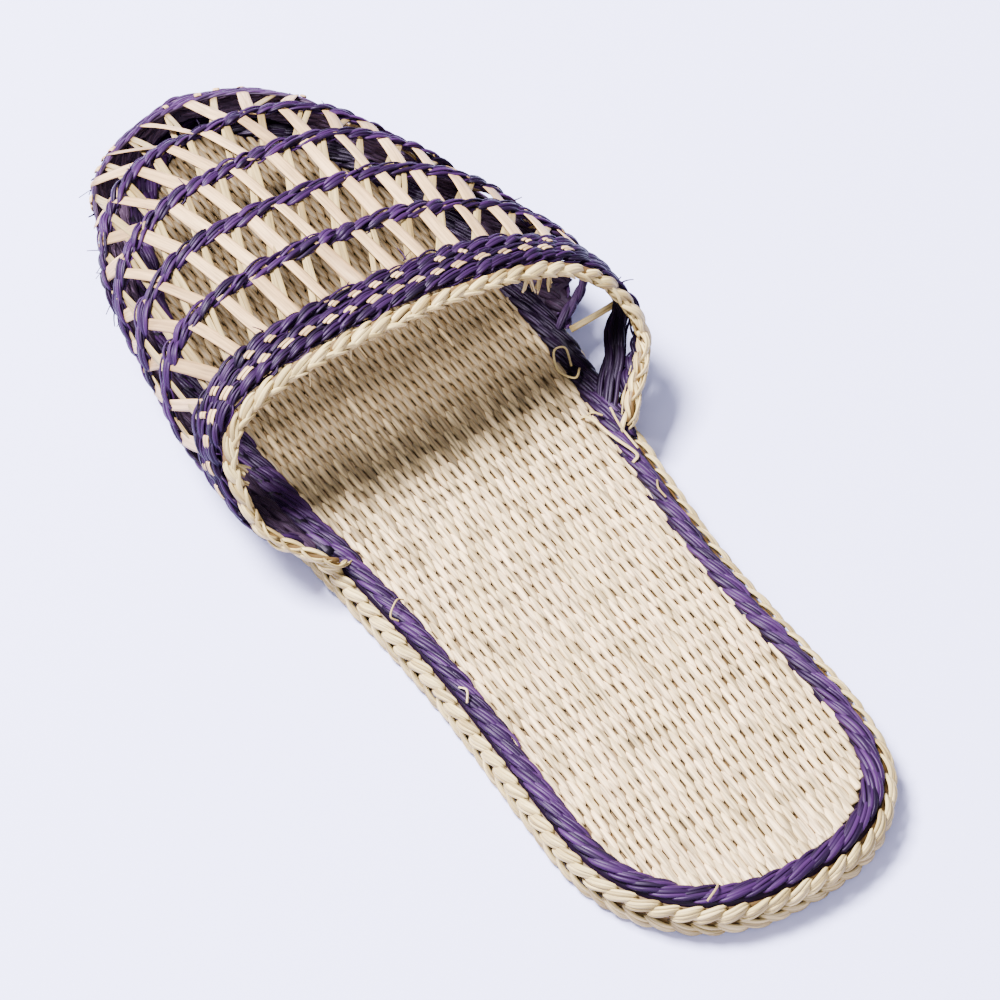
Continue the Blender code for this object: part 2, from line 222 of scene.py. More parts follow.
class Weave:
    """Strands gathered into one joined mesh, in millimetres."""

    def __init__(self, seed: int) -> None:
        """Start an empty weave whose chance comes from seed.

        Args:
            seed: Any whole number.
        """
        self.rng = np.random.default_rng(seed)
        self.points: list[np.ndarray] = []
        self.faces: list[np.ndarray] = []
        self.marks: list[np.ndarray] = []
        self.lit: list[np.ndarray] = []
        self.count = 0

    def vary(self, amount: float, *shape: int) -> np.ndarray:
        """Random numbers from -amount to amount."""
        return self.rng.uniform(-amount, amount, shape)

    def strands(self, paths: np.ndarray, ups: np.ndarray, half_width: np.ndarray,
                half_height: np.ndarray | float, section: Section,
                lit: np.ndarray | float, tones: np.ndarray | None = None,
                closed: bool = False) -> None:
        """Add a set of strands of equal point counts.

        Args:
            paths: Centre lines, (strands, stations, 3).
            ups: Thickness direction at each station.
            half_width: Half width at each station, or one for all.
            half_height: Half thickness at each station, or one for all.
            section: Cross-section.
            lit: How open to the light each station is, from 0 to 1.
            tones: One number from 0 to 1 for each strand's shade of colour.
            closed: True if each strand is a ring.
        """
        many, stations = paths.shape[:2]
        if many == 0:
            return
        if closed:
            along = np.roll(paths, -1, axis=1) - np.roll(paths, 1, axis=1)
        else:
            along = np.gradient(paths, axis=1)
        along = unit(along)
        side = unit(np.cross(ups, along))
        up = np.cross(along, side)
        outline = np.array(section.value)
        around = len(outline)
        wide = np.broadcast_to(np.asarray(half_width, float), (many, stations))
        high = np.broadcast_to(np.asarray(half_height, float), (many, stations))
        reach = wide[..., None] * outline[:, 0]
        rise = high[..., None] * outline[:, 1]
        points = (paths[:, :, None] + side[:, :, None] * reach[..., None]
                  + up[:, :, None] * rise[..., None])
        index = self.count + np.arange(many * stations * around).reshape(many, stations, around)
        near, far = index, np.roll(index, -1, axis=1)
        if not closed:
            near, far = near[:, :-1], far[:, :-1]
        quads = np.stack([near, np.roll(near, -1, axis=2), np.roll(far, -1, axis=2), far], axis=-1)
        self.faces.append(quads.reshape(-1, 4))
        if not closed:
            self.faces.append(index[:, 0, ::-1])
            self.faces.append(index[:, -1])
        steps = np.linalg.norm(np.diff(paths, axis=1), axis=2)
        run = np.concatenate([np.zeros((many, 1)), np.cumsum(steps, axis=1)], axis=1)
        if tones is None:
            tones = self.rng.uniform(0.0, 1.0, many)
        marks = np.stack([np.broadcast_to(run[:, :, None], reach.shape), reach,
                          np.broadcast_to(tones[:, None, None], reach.shape)], axis=-1)
        light = np.broadcast_to(np.asarray(lit, float), (many, stations))
        self.points.append(points.reshape(-1, 3))
        self.marks.append(marks.reshape(-1, 3))
        self.lit.append(np.repeat(light.reshape(-1), around))
        self.count += many * stations * around

    def slab(self, outline: np.ndarray, bottom: float, top: float) -> None:
        """Add a flat closed plate, with no light on it, so that it shows in painted shade.

        Args:
            outline: The plate's edge in plan, anticlockwise, (points, 2).
            bottom: Height of its underside.
            top: Height of its upper side.
        """
        size = len(outline)
        low = np.column_stack([outline, np.full(size, bottom)])
        high = np.column_stack([outline, np.full(size, top)])
        index = self.count + np.arange(2 * size).reshape(2, size)
        walls = np.stack([index[0], np.roll(index[0], -1), np.roll(index[1], -1), index[1]], axis=1)
        self.faces += [walls, index[0, ::-1][None], index[1][None]]
        self.points.append(np.vstack([low, high]))
        self.marks.append(np.column_stack([np.tile(outline, (2, 1)), np.full(2 * size, 0.5)]))
        # No light on the plate: painted shade wherever it shows
        self.lit.append(np.zeros(2 * size))
        self.count += 2 * size

    def dim(self, first: int, share: float, zone: Span | None = None) -> None:
        """Leave only a share of the light on every set of strands from the first on.

        Args:
            first: The number of the first set.
            share: The share that stays.
            zone: x where no light arrives and x where the whole share does.
        """
        for points, lit in zip(self.points[first:], self.lit[first:]):
            lit *= share if zone is None else share * ease(points[:, 0], *zone)

    def build(self, name: str, look: bpy.types.Material) -> bpy.types.Object:
        """Make the object.

        Args:
            name: The piece's name.
            look: Its material.

        Returns:
            The new object, linked to the scene.
        """
        mesh = bpy.data.meshes.new(name)
        corners = np.concatenate([part.ravel() for part in self.faces]).astype(np.int32)
        sizes = np.concatenate([np.full(len(part), part.shape[1]) for part in self.faces])
        starts = np.concatenate([[0], np.cumsum(sizes)[:-1]]).astype(np.int32)
        mesh.vertices.add(self.count)
        places = (np.concatenate(self.points) * MM).astype(np.float32)
        mesh.vertices.foreach_set("co", places.ravel())
        mesh.loops.add(len(corners))
        mesh.loops.foreach_set("vertex_index", corners)
        mesh.polygons.add(len(starts))
        mesh.polygons.foreach_set("loop_start", starts)
        mesh.update(calc_edges=True)
        mesh.validate()
        marks = mesh.attributes.new("straw", "FLOAT_VECTOR", "POINT")
        marks.data.foreach_set("vector", np.concatenate(self.marks).astype(np.float32).ravel())
        lit = mesh.attributes.new("lit", "FLOAT", "POINT")
        lit.data.foreach_set("value", np.concatenate(self.lit).astype(np.float32))
        mesh.shade_smooth()
        mesh.materials.append(look)
        return put(name, mesh)


class Hand(Enum):
    """Which way a stitch leans across its course."""

    RISING = 1.0
    FALLING = -1.0


@dataclass(frozen=True)
class Stitch:
    """One stitch of a plait or twine: a few flat straws that dive in at both ends."""

    length: float
    width: float
    lean: float
    crown: float
    dip: float
    straws: int
    thickness: float
    roundness: float
    blunt: float
    stations: int = 9
    hand: Hand = Hand.RISING
    rough: float = 1.0
    tip_powers: Span = (2.4, 0.6)
    tied: float = 0.18
    overlap: float = 0.6
    hollow: float = 0.55
    arch_power: float = 0.8
    end_light: float = 0.15
    size_chance: float = 0.07
    span_chance: float = 0.08
    lane_chance: float = 0.12
    slip_chance: float = 0.05
    stray_chance: float = 0.05
    rise_chance: float = 0.06
    width_chance: float = 0.12
    pitch_chance: float = 0.06

    def lay(self, weave: Weave, course: Course, centres: np.ndarray,
            shift: float = 0.0, scale: np.ndarray | float = 1.0,
            stretch: np.ndarray | float = 1.0) -> None:
        """Add stitches along a course.

        Args:
            weave: The weave that takes them.
            course: The line they follow.
            centres: Distance of each stitch's middle along the course.
            shift: Offset of all of them sideways.
            scale: Share of the full width and height, for each stitch.
            stretch: Share of the full length, for each stitch.
        """
        many = len(centres)
        if many == 0:
            return
        each = (many, self.straws, 1)
        u = np.linspace(-1.0, 1.0, self.stations)
        wave = np.sin(0.5 * math.pi * u)
        hull = (1 - np.abs(u) ** self.tip_powers[0]) ** self.tip_powers[1]
        size = np.broadcast_to(scale, (many,)) * (
            1 + weave.vary(self.size_chance * self.rough, many))
        size = size[:, None, None]
        span = np.broadcast_to(stretch, (many,)) * (
            1 + weave.vary(self.span_chance * self.rough, many))
        span = span[:, None, None]
        lanes = ((np.arange(self.straws) + 0.5) / self.straws - 0.5) * 2
        spread = lanes[None, :, None] * (1 + weave.vary(self.lane_chance, *each))
        slip = weave.vary(self.slip_chance, *each) * self.length
        s = centres[:, None, None] + span * self.length / 2 * u + slip * (1 - 0.5 * np.abs(u))
        straw_width = self.width / self.straws
        swing = self.lean * size * wave * self.hand.value
        offset = spread * (self.width - straw_width) / 2 * size * blend(self.tied, 1.0, hull)
        stray = weave.vary(self.stray_chance * self.rough, *each) * self.width
        lateral = shift + swing + offset + stray
        arch = np.cos(0.5 * math.pi * u) ** self.arch_power
        bow = self.crown * self.roundness * self.hollow * (spread * hull) ** 2
        rise = (blend(-self.dip, self.crown, arch) - bow) * size
        rise = rise + weave.vary(self.rise_chance * self.rough, *each)
        place, _, side, up = course.at(s)
        paths = place + side * lateral[..., None] + up * rise[..., None]
        tilt = self.roundness * (spread * hull + 0.5 * wave * self.hand.value)
        ups = unit(up + side * tilt[..., None])
        wide = straw_width * self.overlap * size * blend(self.blunt, 1.0, hull)
        wide = wide * (1 + weave.vary(self.width_chance, *each))
        flat = (many * self.straws, self.stations)
        lit = np.broadcast_to(blend(self.end_light, 1.0, hull), (many, self.straws, self.stations))
        weave.strands(paths.reshape(*flat, 3), ups.reshape(*flat, 3), wide.reshape(flat),
                      self.thickness / 2, Section.STRAW, lit.reshape(flat))

    def row(self, weave: Weave, course: Course, pitch: float, phase: float = 0.0,
            scale: float = 1.0) -> None:
        """Fill a whole course with evenly spaced stitches.

        Args:
            weave: The weave that takes them.
            course: The line they follow.
            pitch: Wanted spacing; it is rounded to fit the course.
            phase: Start of the first stitch, as a share of the pitch.
            scale: Share of the full width and height.
        """
        centres = course.spread(pitch, phase)
        centres = centres + weave.vary(self.pitch_chance, len(centres)) * pitch
        self.lay(weave, course, centres, scale=scale)


def core(weave: Weave, course: Course, half_size: Span, drop: float = 0.0) -> None:
    """Add the packed middle of a plait or twine, with no light on it, so that it shows in painted
    shade.

    Args:
        weave: The weave that takes it.
        course: The line it follows.
        half_size: Half its width and half its thickness.
        drop: How far it lies below the course.
    """
    many = max(int(course.length / CORE_STEP), 4)
    s = np.linspace(0.0, course.length, many, endpoint=not course.closed)
    place, _, _, up = course.at(s)
    # lit 0.0: painted shade all along the middle, where the gaps between stitches show
    weave.strands((place - up * drop)[None], up[None], *half_size, Section.CORE, 0.0,
                  closed=course.closed)


# --- the sandal's two forms --------------------------------------------------------------


@dataclass(frozen=True)
class SoleForm:
    """Plan of the sole."""

    heel_length: float = 39.2
    heel_powers: tuple[float, float] = (2.15, 2.6)
    ball_x: float = 145.0
    toe_length: float = 82.0
    toe_power: float = 1.8
    sides: Table = (
        # x along the sole, left half width, right half width
        (0.0, 37.9, 38.6), (40.0, 37.5, 37.2), (66.0, 38.7, 38.9),
        (84.0, 40.2, 40.5), (120.0, 43.3, 43.3), (145.0, 43.8, 43.8),
    )
    turn_points: int = 400
    side_step: float = 2.0
    edge_points: int = 1440

    def half_width(self, x: np.ndarray, left: bool, inset: float = 0.0) -> np.ndarray:
        """Half width at x on one side, moved in by inset.

        Args:
            x: Places along the sole.
            left: True for the left side.
            inset: Distance in from the outline.

        Returns:
            The half width at each place.
        """
        reach = np.clip((x - self.ball_x) / (self.toe_length - inset), 0.0, 1.0)
        width = self.sides[-1][1] - inset
        toe = width * (1 - reach ** self.toe_power) ** (1 / self.toe_power)
        side = smooth(self.sides, 1 if left else 2, x) - inset
        return np.where(x > self.ball_x, toe, side)

    @cached_property
    def edge(self) -> tuple[np.ndarray, np.ndarray]:
        """Evenly spaced points of the outline, anticlockwise, and their inward normals.

        Returns:
            Two arrays, (points, 2).
        """
        turn = np.linspace(0.5 * math.pi, 1.5 * math.pi, self.turn_points)
        left_power, right_power = self.heel_powers
        power = np.where(np.sin(turn) > 0, left_power, right_power)
        width = np.where(np.sin(turn) > 0, self.sides[0][1], self.sides[0][2])
        heel = np.column_stack([
            -self.heel_length * np.abs(np.cos(turn)) ** (2 / power),
            width * np.sign(np.sin(turn)) * np.abs(np.sin(turn)) ** (2 / power)])
        x = np.arange(self.side_step, self.ball_x, self.side_step)
        right = np.column_stack([x, -self.half_width(x, False)])
        left = np.column_stack([x, self.half_width(x, True)])[::-1]
        turn = np.linspace(-0.5 * math.pi, 0.5 * math.pi, self.turn_points)
        share = 2 / self.toe_power
        toe = np.column_stack([
            self.ball_x + self.toe_length * np.abs(np.cos(turn)) ** share,
            self.sides[-1][1] * np.sign(np.sin(turn)) * np.abs(np.sin(turn)) ** share])
        loop = self.even(np.vstack([heel, right, toe, left]), self.edge_points)
        along = unit(np.roll(loop, -3, axis=0) - np.roll(loop, 3, axis=0))
        return loop, np.column_stack([-along[:, 1], along[:, 0]])

    @staticmethod
    def even(loop: np.ndarray, many: int) -> np.ndarray:
        """A closed loop's points spaced evenly.

        Args:
            loop: Points in plan, (points, 2).
            many: The number of points wanted.

        Returns:
            The even points.
        """
        ring = np.vstack([loop, loop[:1]])
        lengths = run_along(ring)
        s = np.linspace(0.0, lengths[-1], many, endpoint=False)
        return at_lengths(s, lengths, ring)

    def outline(self, inset: float, many: int) -> np.ndarray:
        """The outline moved in by inset, as a number of even points."""
        loop, inward = self.edge
        return self.even(loop + inward * inset, many)

    def course(self, inset: float, height: float, outward: float, upward: float) -> Course:
        """A ring round the sole.

        Args:
            inset: Distance in from the outline.
            height: Height above the floor.
            outward: Share of the normal that faces out.
            upward: Share of the normal that faces up.

        Returns:
            The ring as a closed course.
        """
        loop, inward = self.edge
        plan = loop + inward * inset
        points = np.column_stack([plan, np.full(len(plan), height)])
        normals = np.column_stack([-inward * outward, np.full(len(plan), upward)])
        return Course(points, unit(normals), closed=True)

    def contains(self, x: np.ndarray, y: np.ndarray, inset: float) -> np.ndarray:
        """Which places in plan lie inside the outline moved in by inset.

        Args:
            x: Places along the sole.
            y: Places across it.
            inset: Distance in from the outline.

        Returns:
            True for the places inside.
        """
        left = y >= 0
        width = np.where(left, self.sides[0][1], self.sides[0][2]) - inset
        power = np.where(left, self.heel_powers[0], self.heel_powers[1])
        reach = np.clip(-x / (self.heel_length - inset), 0.0, 1.0)
        heel = width * (1 - reach ** power) ** (1 / power)
        side = np.where(left, self.half_width(x, True, inset), self.half_width(x, False, inset))
        inside = np.abs(y) < np.where(x < 0, heel, side)
        return inside & (x > inset - self.heel_length) & (x < self.ball_x + self.toe_length - inset)


@dataclass(frozen=True)
class UpperForm:
    """Outer face of the upper: x along the sole, v from -1 (right foot) to 1 (left foot)."""

    sole: SoleForm
    base_z: float = 9.7
    base_inset: float = 1.6
    base_share: float = 0.96
    power: float = 2.5
    widest_z: float = 17.8
    widest_share: float = 0.5
    widest_v: float = 0.75
    tip_x: float = 228.0
    sweep_power: float = 2.2
    rows: Table = (
        # x along the sole, left half width, right half width, ridge height, ridge offset
        (85.0, 49.0, 44.5, 47.3, 6.7), (95.0, 50.0, 51.0, 46.6, 6.7),
        (105.0, 50.4, 55.2, 45.8, 6.7), (125.0, 50.5, 54.6, 42.5, 6.7),
        (150.0, 47.4, 48.6, 39.7, 6.7), (175.0, 43.0, 39.3, 37.4, 6.5),
        (195.0, 35.6, 31.2, 32.6, 5.6), (210.0, 28.6, 24.8, 24.0, 4.2),
        (220.0, 19.4, 18.3, 18.8, 2.6), (228.0, 0.0, 0.0, 15.0, 1.0),
    )
    collar_rows: Table = (
        # v from ridge to foot, x on the left, x on the right
        (0.00, 115.8, 115.8), (0.25, 115.5, 115.7), (0.50, 112.8, 113.2),
        (0.65, 107.5, 108.5), (0.75, 100.5, 102.5), (0.88, 93.0, 94.0), (1.00, 86.0, 86.5),
    )
    collar_x: float = 100.0
    normal_steps: Span = (0.5, 0.02)

    def profile(self, x: np.ndarray, left: np.ndarray) -> tuple[np.ndarray, ...]:
        """Widest half width, ridge height, lean, widest height and foot half width at x.

        Args:
            x: Places along the sole.
            left: True for places on the left.

        Returns:
            Five arrays of the shape of x.
        """
        by_root = tuple(
            (math.sqrt(self.tip_x - row[0]),) + row[1:] for row in reversed(self.rows))
        q = np.sqrt(np.maximum(self.tip_x - x, 0.0))
        widest = np.where(left, smooth(by_root, 1, q), smooth(by_root, 2, q))
        ridge, lean = smooth(by_root, 3, q), smooth(by_root, 4, q)
        low = np.minimum(self.widest_z, self.base_z + self.widest_share * (ridge - self.base_z))
        foot = np.where(left, self.sole.half_width(x, True, self.base_inset),
                        self.sole.half_width(x, False, self.base_inset))
        return widest, ridge, lean, low, np.minimum(foot, self.base_share * widest)

    def section(self, x: np.ndarray, v: np.ndarray) -> np.ndarray:
        """Points of the outer face.

        Args:
            x: Places along the sole.
            v: Places across the upper.

        Returns:
            Three numbers for each place.
        """
        x, v = np.broadcast_arrays(np.asarray(x, float), np.asarray(v, float))
        widest, ridge, lean, low, foot = self.profile(x, v >= 0)
        angle = 0.5 * math.pi * np.minimum(np.abs(v) / self.widest_v, 1.0)
        arch_y = widest * np.sin(angle) ** (2 / self.power)
        arch_z = low + (ridge - low) * np.maximum(np.cos(angle), 0.0) ** (2 / self.power)
        drop = np.maximum((np.abs(v) - self.widest_v) / (1 - self.widest_v), 0.0)
        wall_y = foot + (widest - foot) * np.cos(0.5 * math.pi * drop)
        wall_z = low + (self.base_z - low) * drop
        y = np.where(np.abs(v) <= self.widest_v, arch_y, wall_y)
        z = np.where(np.abs(v) <= self.widest_v, arch_z, wall_z)
        share = (z - self.base_z) / (ridge - self.base_z)
        return np.stack([x, np.where(v >= 0, y, -y) + lean * share, z], axis=-1)

    def normal(self, x: np.ndarray, v: np.ndarray) -> np.ndarray:
        """Outward normals of the outer face.

        Args:
            x: Places along the sole.
            v: Places across the upper.

        Returns:
            Three numbers for each place.
        """
        point = self.section(x, v)
        step_x, step_v = self.normal_steps
        inner = v - np.where(v >= 0, step_v, -step_v)
        along_x = self.section(x - step_x, v) - point
        along_v = (self.section(x, inner) - point) * np.where(v >= 0, 1.0, -1.0)[..., None]
        return unit(np.cross(along_x, along_v))

    def point(self, x: np.ndarray, v: np.ndarray, offset: np.ndarray | float = 0.0) -> np.ndarray:
        """Points moved out from the outer face by offset.

        Args:
            x: Places along the sole.
            v: Places across the upper.
            offset: Distance out of the face.

        Returns:
            Three numbers for each place.
        """
        x, v = np.broadcast_arrays(np.asarray(x, float), np.asarray(v, float))
        lift = np.asarray(offset, float)[..., None]
        return self.section(x, v) + self.normal(x, v) * lift

    def faces(self, x: np.ndarray, v: np.ndarray, offset: float) -> tuple[Course, Course]:
        """A line's course on the outer face and on the inner face.

        Args:
            x: The line's x.
            v: The line's v.
            offset: How far its points lie out from the outer face.

        Returns:
            Two courses with the same points and opposite normals.
        """
        points, normals = self.point(x, v, offset), self.normal(x, v)
        return Course(points, normals), Course(points, -normals)

    def collar(self, v: np.ndarray, ahead: float = 0.0) -> np.ndarray:
        """x of the collar's edge at v, or of a line that runs a set distance ahead of it.

        Args:
            v: Places across the upper.
            ahead: Distance from the edge towards the toe.

        Returns:
            x for each v.
        """
        found = np.zeros_like(v)
        grid = np.linspace(0.0, 1.0, 81)
        for left in (True, False):
            line = smooth(self.collar_rows, 1 if left else 2, grid)
            lengths = run_along(self.section(self.collar_x, grid if left else 0.0 - grid))
            dx, ds = np.gradient(line), np.gradient(lengths)
            size = np.hypot(dx, ds)
            s = np.interp(np.abs(v), grid, lengths)
            moved = np.interp(s, lengths - ahead * dx / size, line + ahead * ds / size)
            found = np.where((v >= 0) == left, moved, found)
        return found

    def swept(self, line: Place, v: np.ndarray) -> np.ndarray:
        """x at v of a line across the upper that turns back at its ends.

        Args:
            line: x at the ridge, how far it turns back at the sides, lean.
            v: Places across the upper.

        Returns:
            x for each v.
        """
        ridge_x, sweep, skew = line
        share = np.minimum(np.abs(v) / self.widest_v, 1.0)
        side = np.sin(0.5 * math.pi * np.clip(v / self.widest_v, -1.0, 1.0))
        return ridge_x - sweep * share ** self.sweep_power - skew * side

    def inside(self, points: np.ndarray) -> np.ndarray:
        """Which points lie within the upper's hollow form.

        Args:
            points: Any places, three numbers each.

        Returns:
            True for the points within.
        """
        x, y, z = points[..., 0], points[..., 1], points[..., 2]
        _, ridge, lean, _, _ = self.profile(x, y >= 0)
        centre = lean * (z - self.base_z) / np.maximum(ridge - self.base_z, 1e-6)
        widest, ridge, _, low, foot = self.profile(x, y >= centre)
        high = np.clip((z - low) / np.maximum(ridge - low, 1e-6), 0.0, 1.0)
        arch = widest * (1 - high ** self.power) ** (1 / self.power)
        drop = np.clip((low - z) / (low - self.base_z), 0.0, 1.0)
        wall = foot + (widest - foot) * np.cos(0.5 * math.pi * drop)
        half = np.where(z > low, arch, wall)
        return (np.abs(y - centre) < half) & (x < self.tip_x) & (z < ridge)


# --- finishes ----------------------------------------------------------------------------


class ShaderTree:
    """A material's nodes, with short ways to add and link them."""

    def __init__(self, name: str) -> None:
        """Start a material with a plain shader.

        Args:
            name: The material's name.
        """
        self.material = bpy.data.materials.new(name)
        self.material.use_nodes = True
        self.tree = self.material.node_tree
        self.shader = self.tree.nodes["Principled BSDF"]

    def link(self, source: bpy.types.NodeSocket, target: bpy.types.NodeSocket) -> None:
        """Link a result to an input."""
        self.tree.links.new(source, target)

    def node(self, kind: str, **settings: object) -> bpy.types.Node:
        """Add a node with settings.

        Args:
            kind: The node's type.
            settings: Its named options.

        Returns:
            The new node.
        """
        made = self.tree.nodes.new(kind)
        for key, value in settings.items():
            setattr(made, key, value)
        return made

    def maths(self, operation: str, first: bpy.types.NodeSocket,
              second: bpy.types.NodeSocket | float,
              third: float = 0.0) -> bpy.types.NodeSocket:
        """Add a maths node and give its result.

        Args:
            operation: The kind of maths.
            first: The first input.
            second: The second input, linked or plain.
            third: The third input.

        Returns:
            The result's socket.
        """
        made = self.node("ShaderNodeMath", operation=operation)
        self.link(first, made.inputs[0])
        if isinstance(second, float):
            made.inputs[1].default_value = second
        else:
            self.link(second, made.inputs[1])
        made.inputs[2].default_value = third
        return made.outputs[0]

    def vector(self, *parts: bpy.types.NodeSocket) -> bpy.types.NodeSocket:
        """Join three numbers to a place.

        Args:
            parts: Sockets of the three numbers.

        Returns:
            The place's socket.
        """
        made = self.node("ShaderNodeCombineXYZ")
        for socket, source in zip(made.inputs, parts):
            self.link(source, socket)
        return made.outputs[0]

    def noise(self, place: bpy.types.NodeSocket, scale: float,
              detail: float) -> bpy.types.NodeSocket:
        """Add a noise texture and give its value.

        Args:
            place: Socket of the place that it reads.
            scale: Its scale.
            detail: Its layers of finer noise.

        Returns:
            The value's socket.
        """
        made = self.node("ShaderNodeTexNoise")
        made.inputs["Scale"].default_value = scale
        made.inputs["Detail"].default_value = detail
        self.link(place, made.inputs["Vector"])
        return made.outputs[0]

    def ramp(self, value: bpy.types.NodeSocket,
             *stops: tuple[float, Colour]) -> bpy.types.NodeSocket:
        """Add a colour ramp and give its colour.

        Args:
            value: The number that the ramp reads.
            stops: Position and colour of its first stop, its last, and any between.

        Returns:
            The colour's socket.
        """
        made = self.node("ShaderNodeValToRGB")
        elements = made.color_ramp.elements
        for number, (position, colour) in enumerate(stops):
            stop = elements[number] if number < 2 else elements.new(position)
            stop.position, stop.color = position, (*colour, 1.0)
        self.link(value, made.inputs[0])
        return made.outputs[0]

    def multiply(self, first: bpy.types.NodeSocket,
                 second: bpy.types.NodeSocket) -> bpy.types.NodeSocket:
        """Multiply two colours and give the result.

        Args:
            first: Socket of one colour.
            second: Socket of the other.

        Returns:
            The result's socket.
        """
        made = self.node("ShaderNodeMix", data_type="RGBA", blend_type="MULTIPLY")
        made.inputs[0].default_value = 1.0
        self.link(first, made.inputs[6])
        self.link(second, made.inputs[7])
        return made.outputs[2]


@dataclass(frozen=True)
class StrawFinish:
    """Split straw: fine lengthwise fibres, strand-to-strand shades, a dry or dyed sheen, and
    painted shade where its strands' lit mark is low.
    """

    name: str
    pale: Colour
    middle: Colour
    dark: Colour
    shade: Colour
    fibres: float
    fibre_contrast: float
    blotch: float
    roughness: Span = (0.42, 0.7)
    gloss: float = 0.4
    sheen: Colour = (1.0, 0.95, 0.85)
    bump: float = 0.5
    bump_depth: float = 0.12
    along_scale: float = 0.10
    strand_apart: float = 37.0
    streak_width: float = 0.3
    streak_share: float = 0.55
    fibre_detail: float = 3.0
    streak_detail: float = 2.0
    blotch_scale: float = 55.0
    middle_at: float = 0.4
    groove_zone: Span = (0.3, 0.62)
    gloss_zone: Span = (0.25, 0.75)
    full_light: float = 0.62

    def build(self) -> bpy.types.Material:
        """Make the material.

        Returns:
            A node material that reads each strand's own marks.
        """
        tree = ShaderTree(self.name)
        marks = tree.node("ShaderNodeAttribute", attribute_name="straw")
        parts = tree.node("ShaderNodeSeparateXYZ")
        tree.link(marks.outputs["Vector"], parts.inputs[0])
        along = tree.maths("MULTIPLY", parts.outputs[0], self.along_scale)
        apart = tree.maths("MULTIPLY", parts.outputs[2], self.strand_apart)
        across = tree.maths("MULTIPLY", parts.outputs[1], self.fibres)
        coarse = tree.maths("MULTIPLY", parts.outputs[1], self.fibres * self.streak_width)
        fibre = tree.noise(tree.vector(along, across, apart), 1.0, self.fibre_detail)
        streak = tree.noise(tree.vector(along, coarse, apart), 1.0, self.streak_detail)
        where = tree.node("ShaderNodeTexCoord")
        blotch = tree.noise(where.outputs["Object"], self.blotch_scale, self.fibre_detail)
        tone = tree.maths("MULTIPLY_ADD", streak, self.streak_share, -0.5 * self.streak_share)
        tone = tree.maths("ADD", tone, parts.outputs[2])
        stain = tree.maths("MULTIPLY_ADD", blotch, self.blotch * 2, -self.blotch)
        tone = tree.maths("ADD", tone, stain)
        base = tree.ramp(tone, (0.0, self.dark), (1.0, self.pale), (self.middle_at, self.middle))
        low = 1.0 - self.fibre_contrast
        grooves = tree.ramp(fibre, (self.groove_zone[0], (low, low, low)),
                            (self.groove_zone[1], WHITE))
        # Painted shade: the colour fades to the shade colour where a strand's lit mark is low
        lit = tree.node("ShaderNodeAttribute", attribute_name="lit")
        fade = tree.ramp(lit.outputs["Fac"], (0.0, self.shade), (self.full_light, WHITE))
        shaded = tree.multiply(tree.multiply(base, grooves), fade)
        tree.link(shaded, tree.shader.inputs["Base Color"])
        gloss = tree.node("ShaderNodeMapRange")
        gloss.inputs["From Min"].default_value = self.gloss_zone[0]
        gloss.inputs["From Max"].default_value = self.gloss_zone[1]
        gloss.inputs["To Min"].default_value = self.roughness[1]
        gloss.inputs["To Max"].default_value = self.roughness[0]
        tree.link(fibre, gloss.inputs["Value"])
        tree.link(gloss.outputs[0], tree.shader.inputs["Roughness"])
        relief = tree.node("ShaderNodeBump")
        relief.inputs["Strength"].default_value = self.bump
        relief.inputs["Distance"].default_value = self.bump_depth * MM
        tree.link(fibre, relief.inputs["Height"])
        tree.link(relief.outputs[0], tree.shader.inputs["Normal"])
        tree.shader.inputs["Specular IOR Level"].default_value = self.gloss
        tree.shader.inputs["Specular Tint"].default_value = (*self.sheen, 1.0)
        return tree.material


CREAM = StrawFinish(
    "cream_straw", pale=(0.63, 0.398, 0.206), middle=(0.50, 0.305, 0.15), dark=(0.30, 0.175, 0.08),
    shade=(0.30, 0.22, 0.16), fibres=2.4, fibre_contrast=0.48, blotch=0.16)
YELLOW = StrawFinish(
    "yellow_straw", pale=(0.65, 0.485, 0.225), middle=(0.50, 0.365, 0.152),
    dark=(0.31, 0.21, 0.078), shade=(0.24, 0.17, 0.10), fibres=2.6, fibre_contrast=0.5,
    blotch=0.15)
MAT = StrawFinish(
    "mat_straw", pale=(0.82, 0.585, 0.352), middle=(0.62, 0.445, 0.24), dark=(0.29, 0.198, 0.10),
    shade=(0.30, 0.24, 0.17), fibres=1.6, fibre_contrast=0.76, blotch=0.26, bump=0.8)
SOLE_STRAW = StrawFinish(
    "sole_straw", pale=(0.70, 0.55, 0.37), middle=(0.56, 0.42, 0.26), dark=(0.37, 0.26, 0.14),
    shade=(0.22, 0.15, 0.10), fibres=2.4, fibre_contrast=0.5, blotch=0.35)
PURPLE = StrawFinish(
    "purple_straw", pale=(0.041, 0.0125, 0.066), middle=(0.017, 0.0055, 0.030),
    dark=(0.006, 0.0025, 0.011), shade=(0.20, 0.18, 0.20), fibres=3.6, fibre_contrast=0.4,
    blotch=0.12, roughness=(0.30, 0.55), gloss=0.14, sheen=(0.80, 0.66, 1.0), bump=0.6)
DEEP_PURPLE = replace(
    PURPLE, name="deep_purple_straw", pale=(0.028, 0.009, 0.046), middle=(0.012, 0.004, 0.021),
    dark=(0.004, 0.002, 0.007))
# Painted light: a lighter copy of the purple, with a lighter shade colour, so the toe cap's shaded
# inside shows lighter, and its outside with it
TOE_PAINTED_LIGHT_PURPLE = replace(
    PURPLE, name="toe_painted_light_purple_straw", pale=(0.066, 0.026, 0.098), middle=(0.036, 0.015, 0.057),
    shade=(0.45, 0.42, 0.45))
# Painted light: a much lighter copy of the purple for the cap's inner face, which stands in for
# light reaching inside the nose
LINING_PAINTED_LIGHT_PURPLE = replace(
    PURPLE, name="lining_painted_light_purple_straw", pale=(0.20, 0.12, 0.22), middle=(0.12, 0.07, 0.135),
    dark=(0.05, 0.03, 0.06), gloss=0.08)


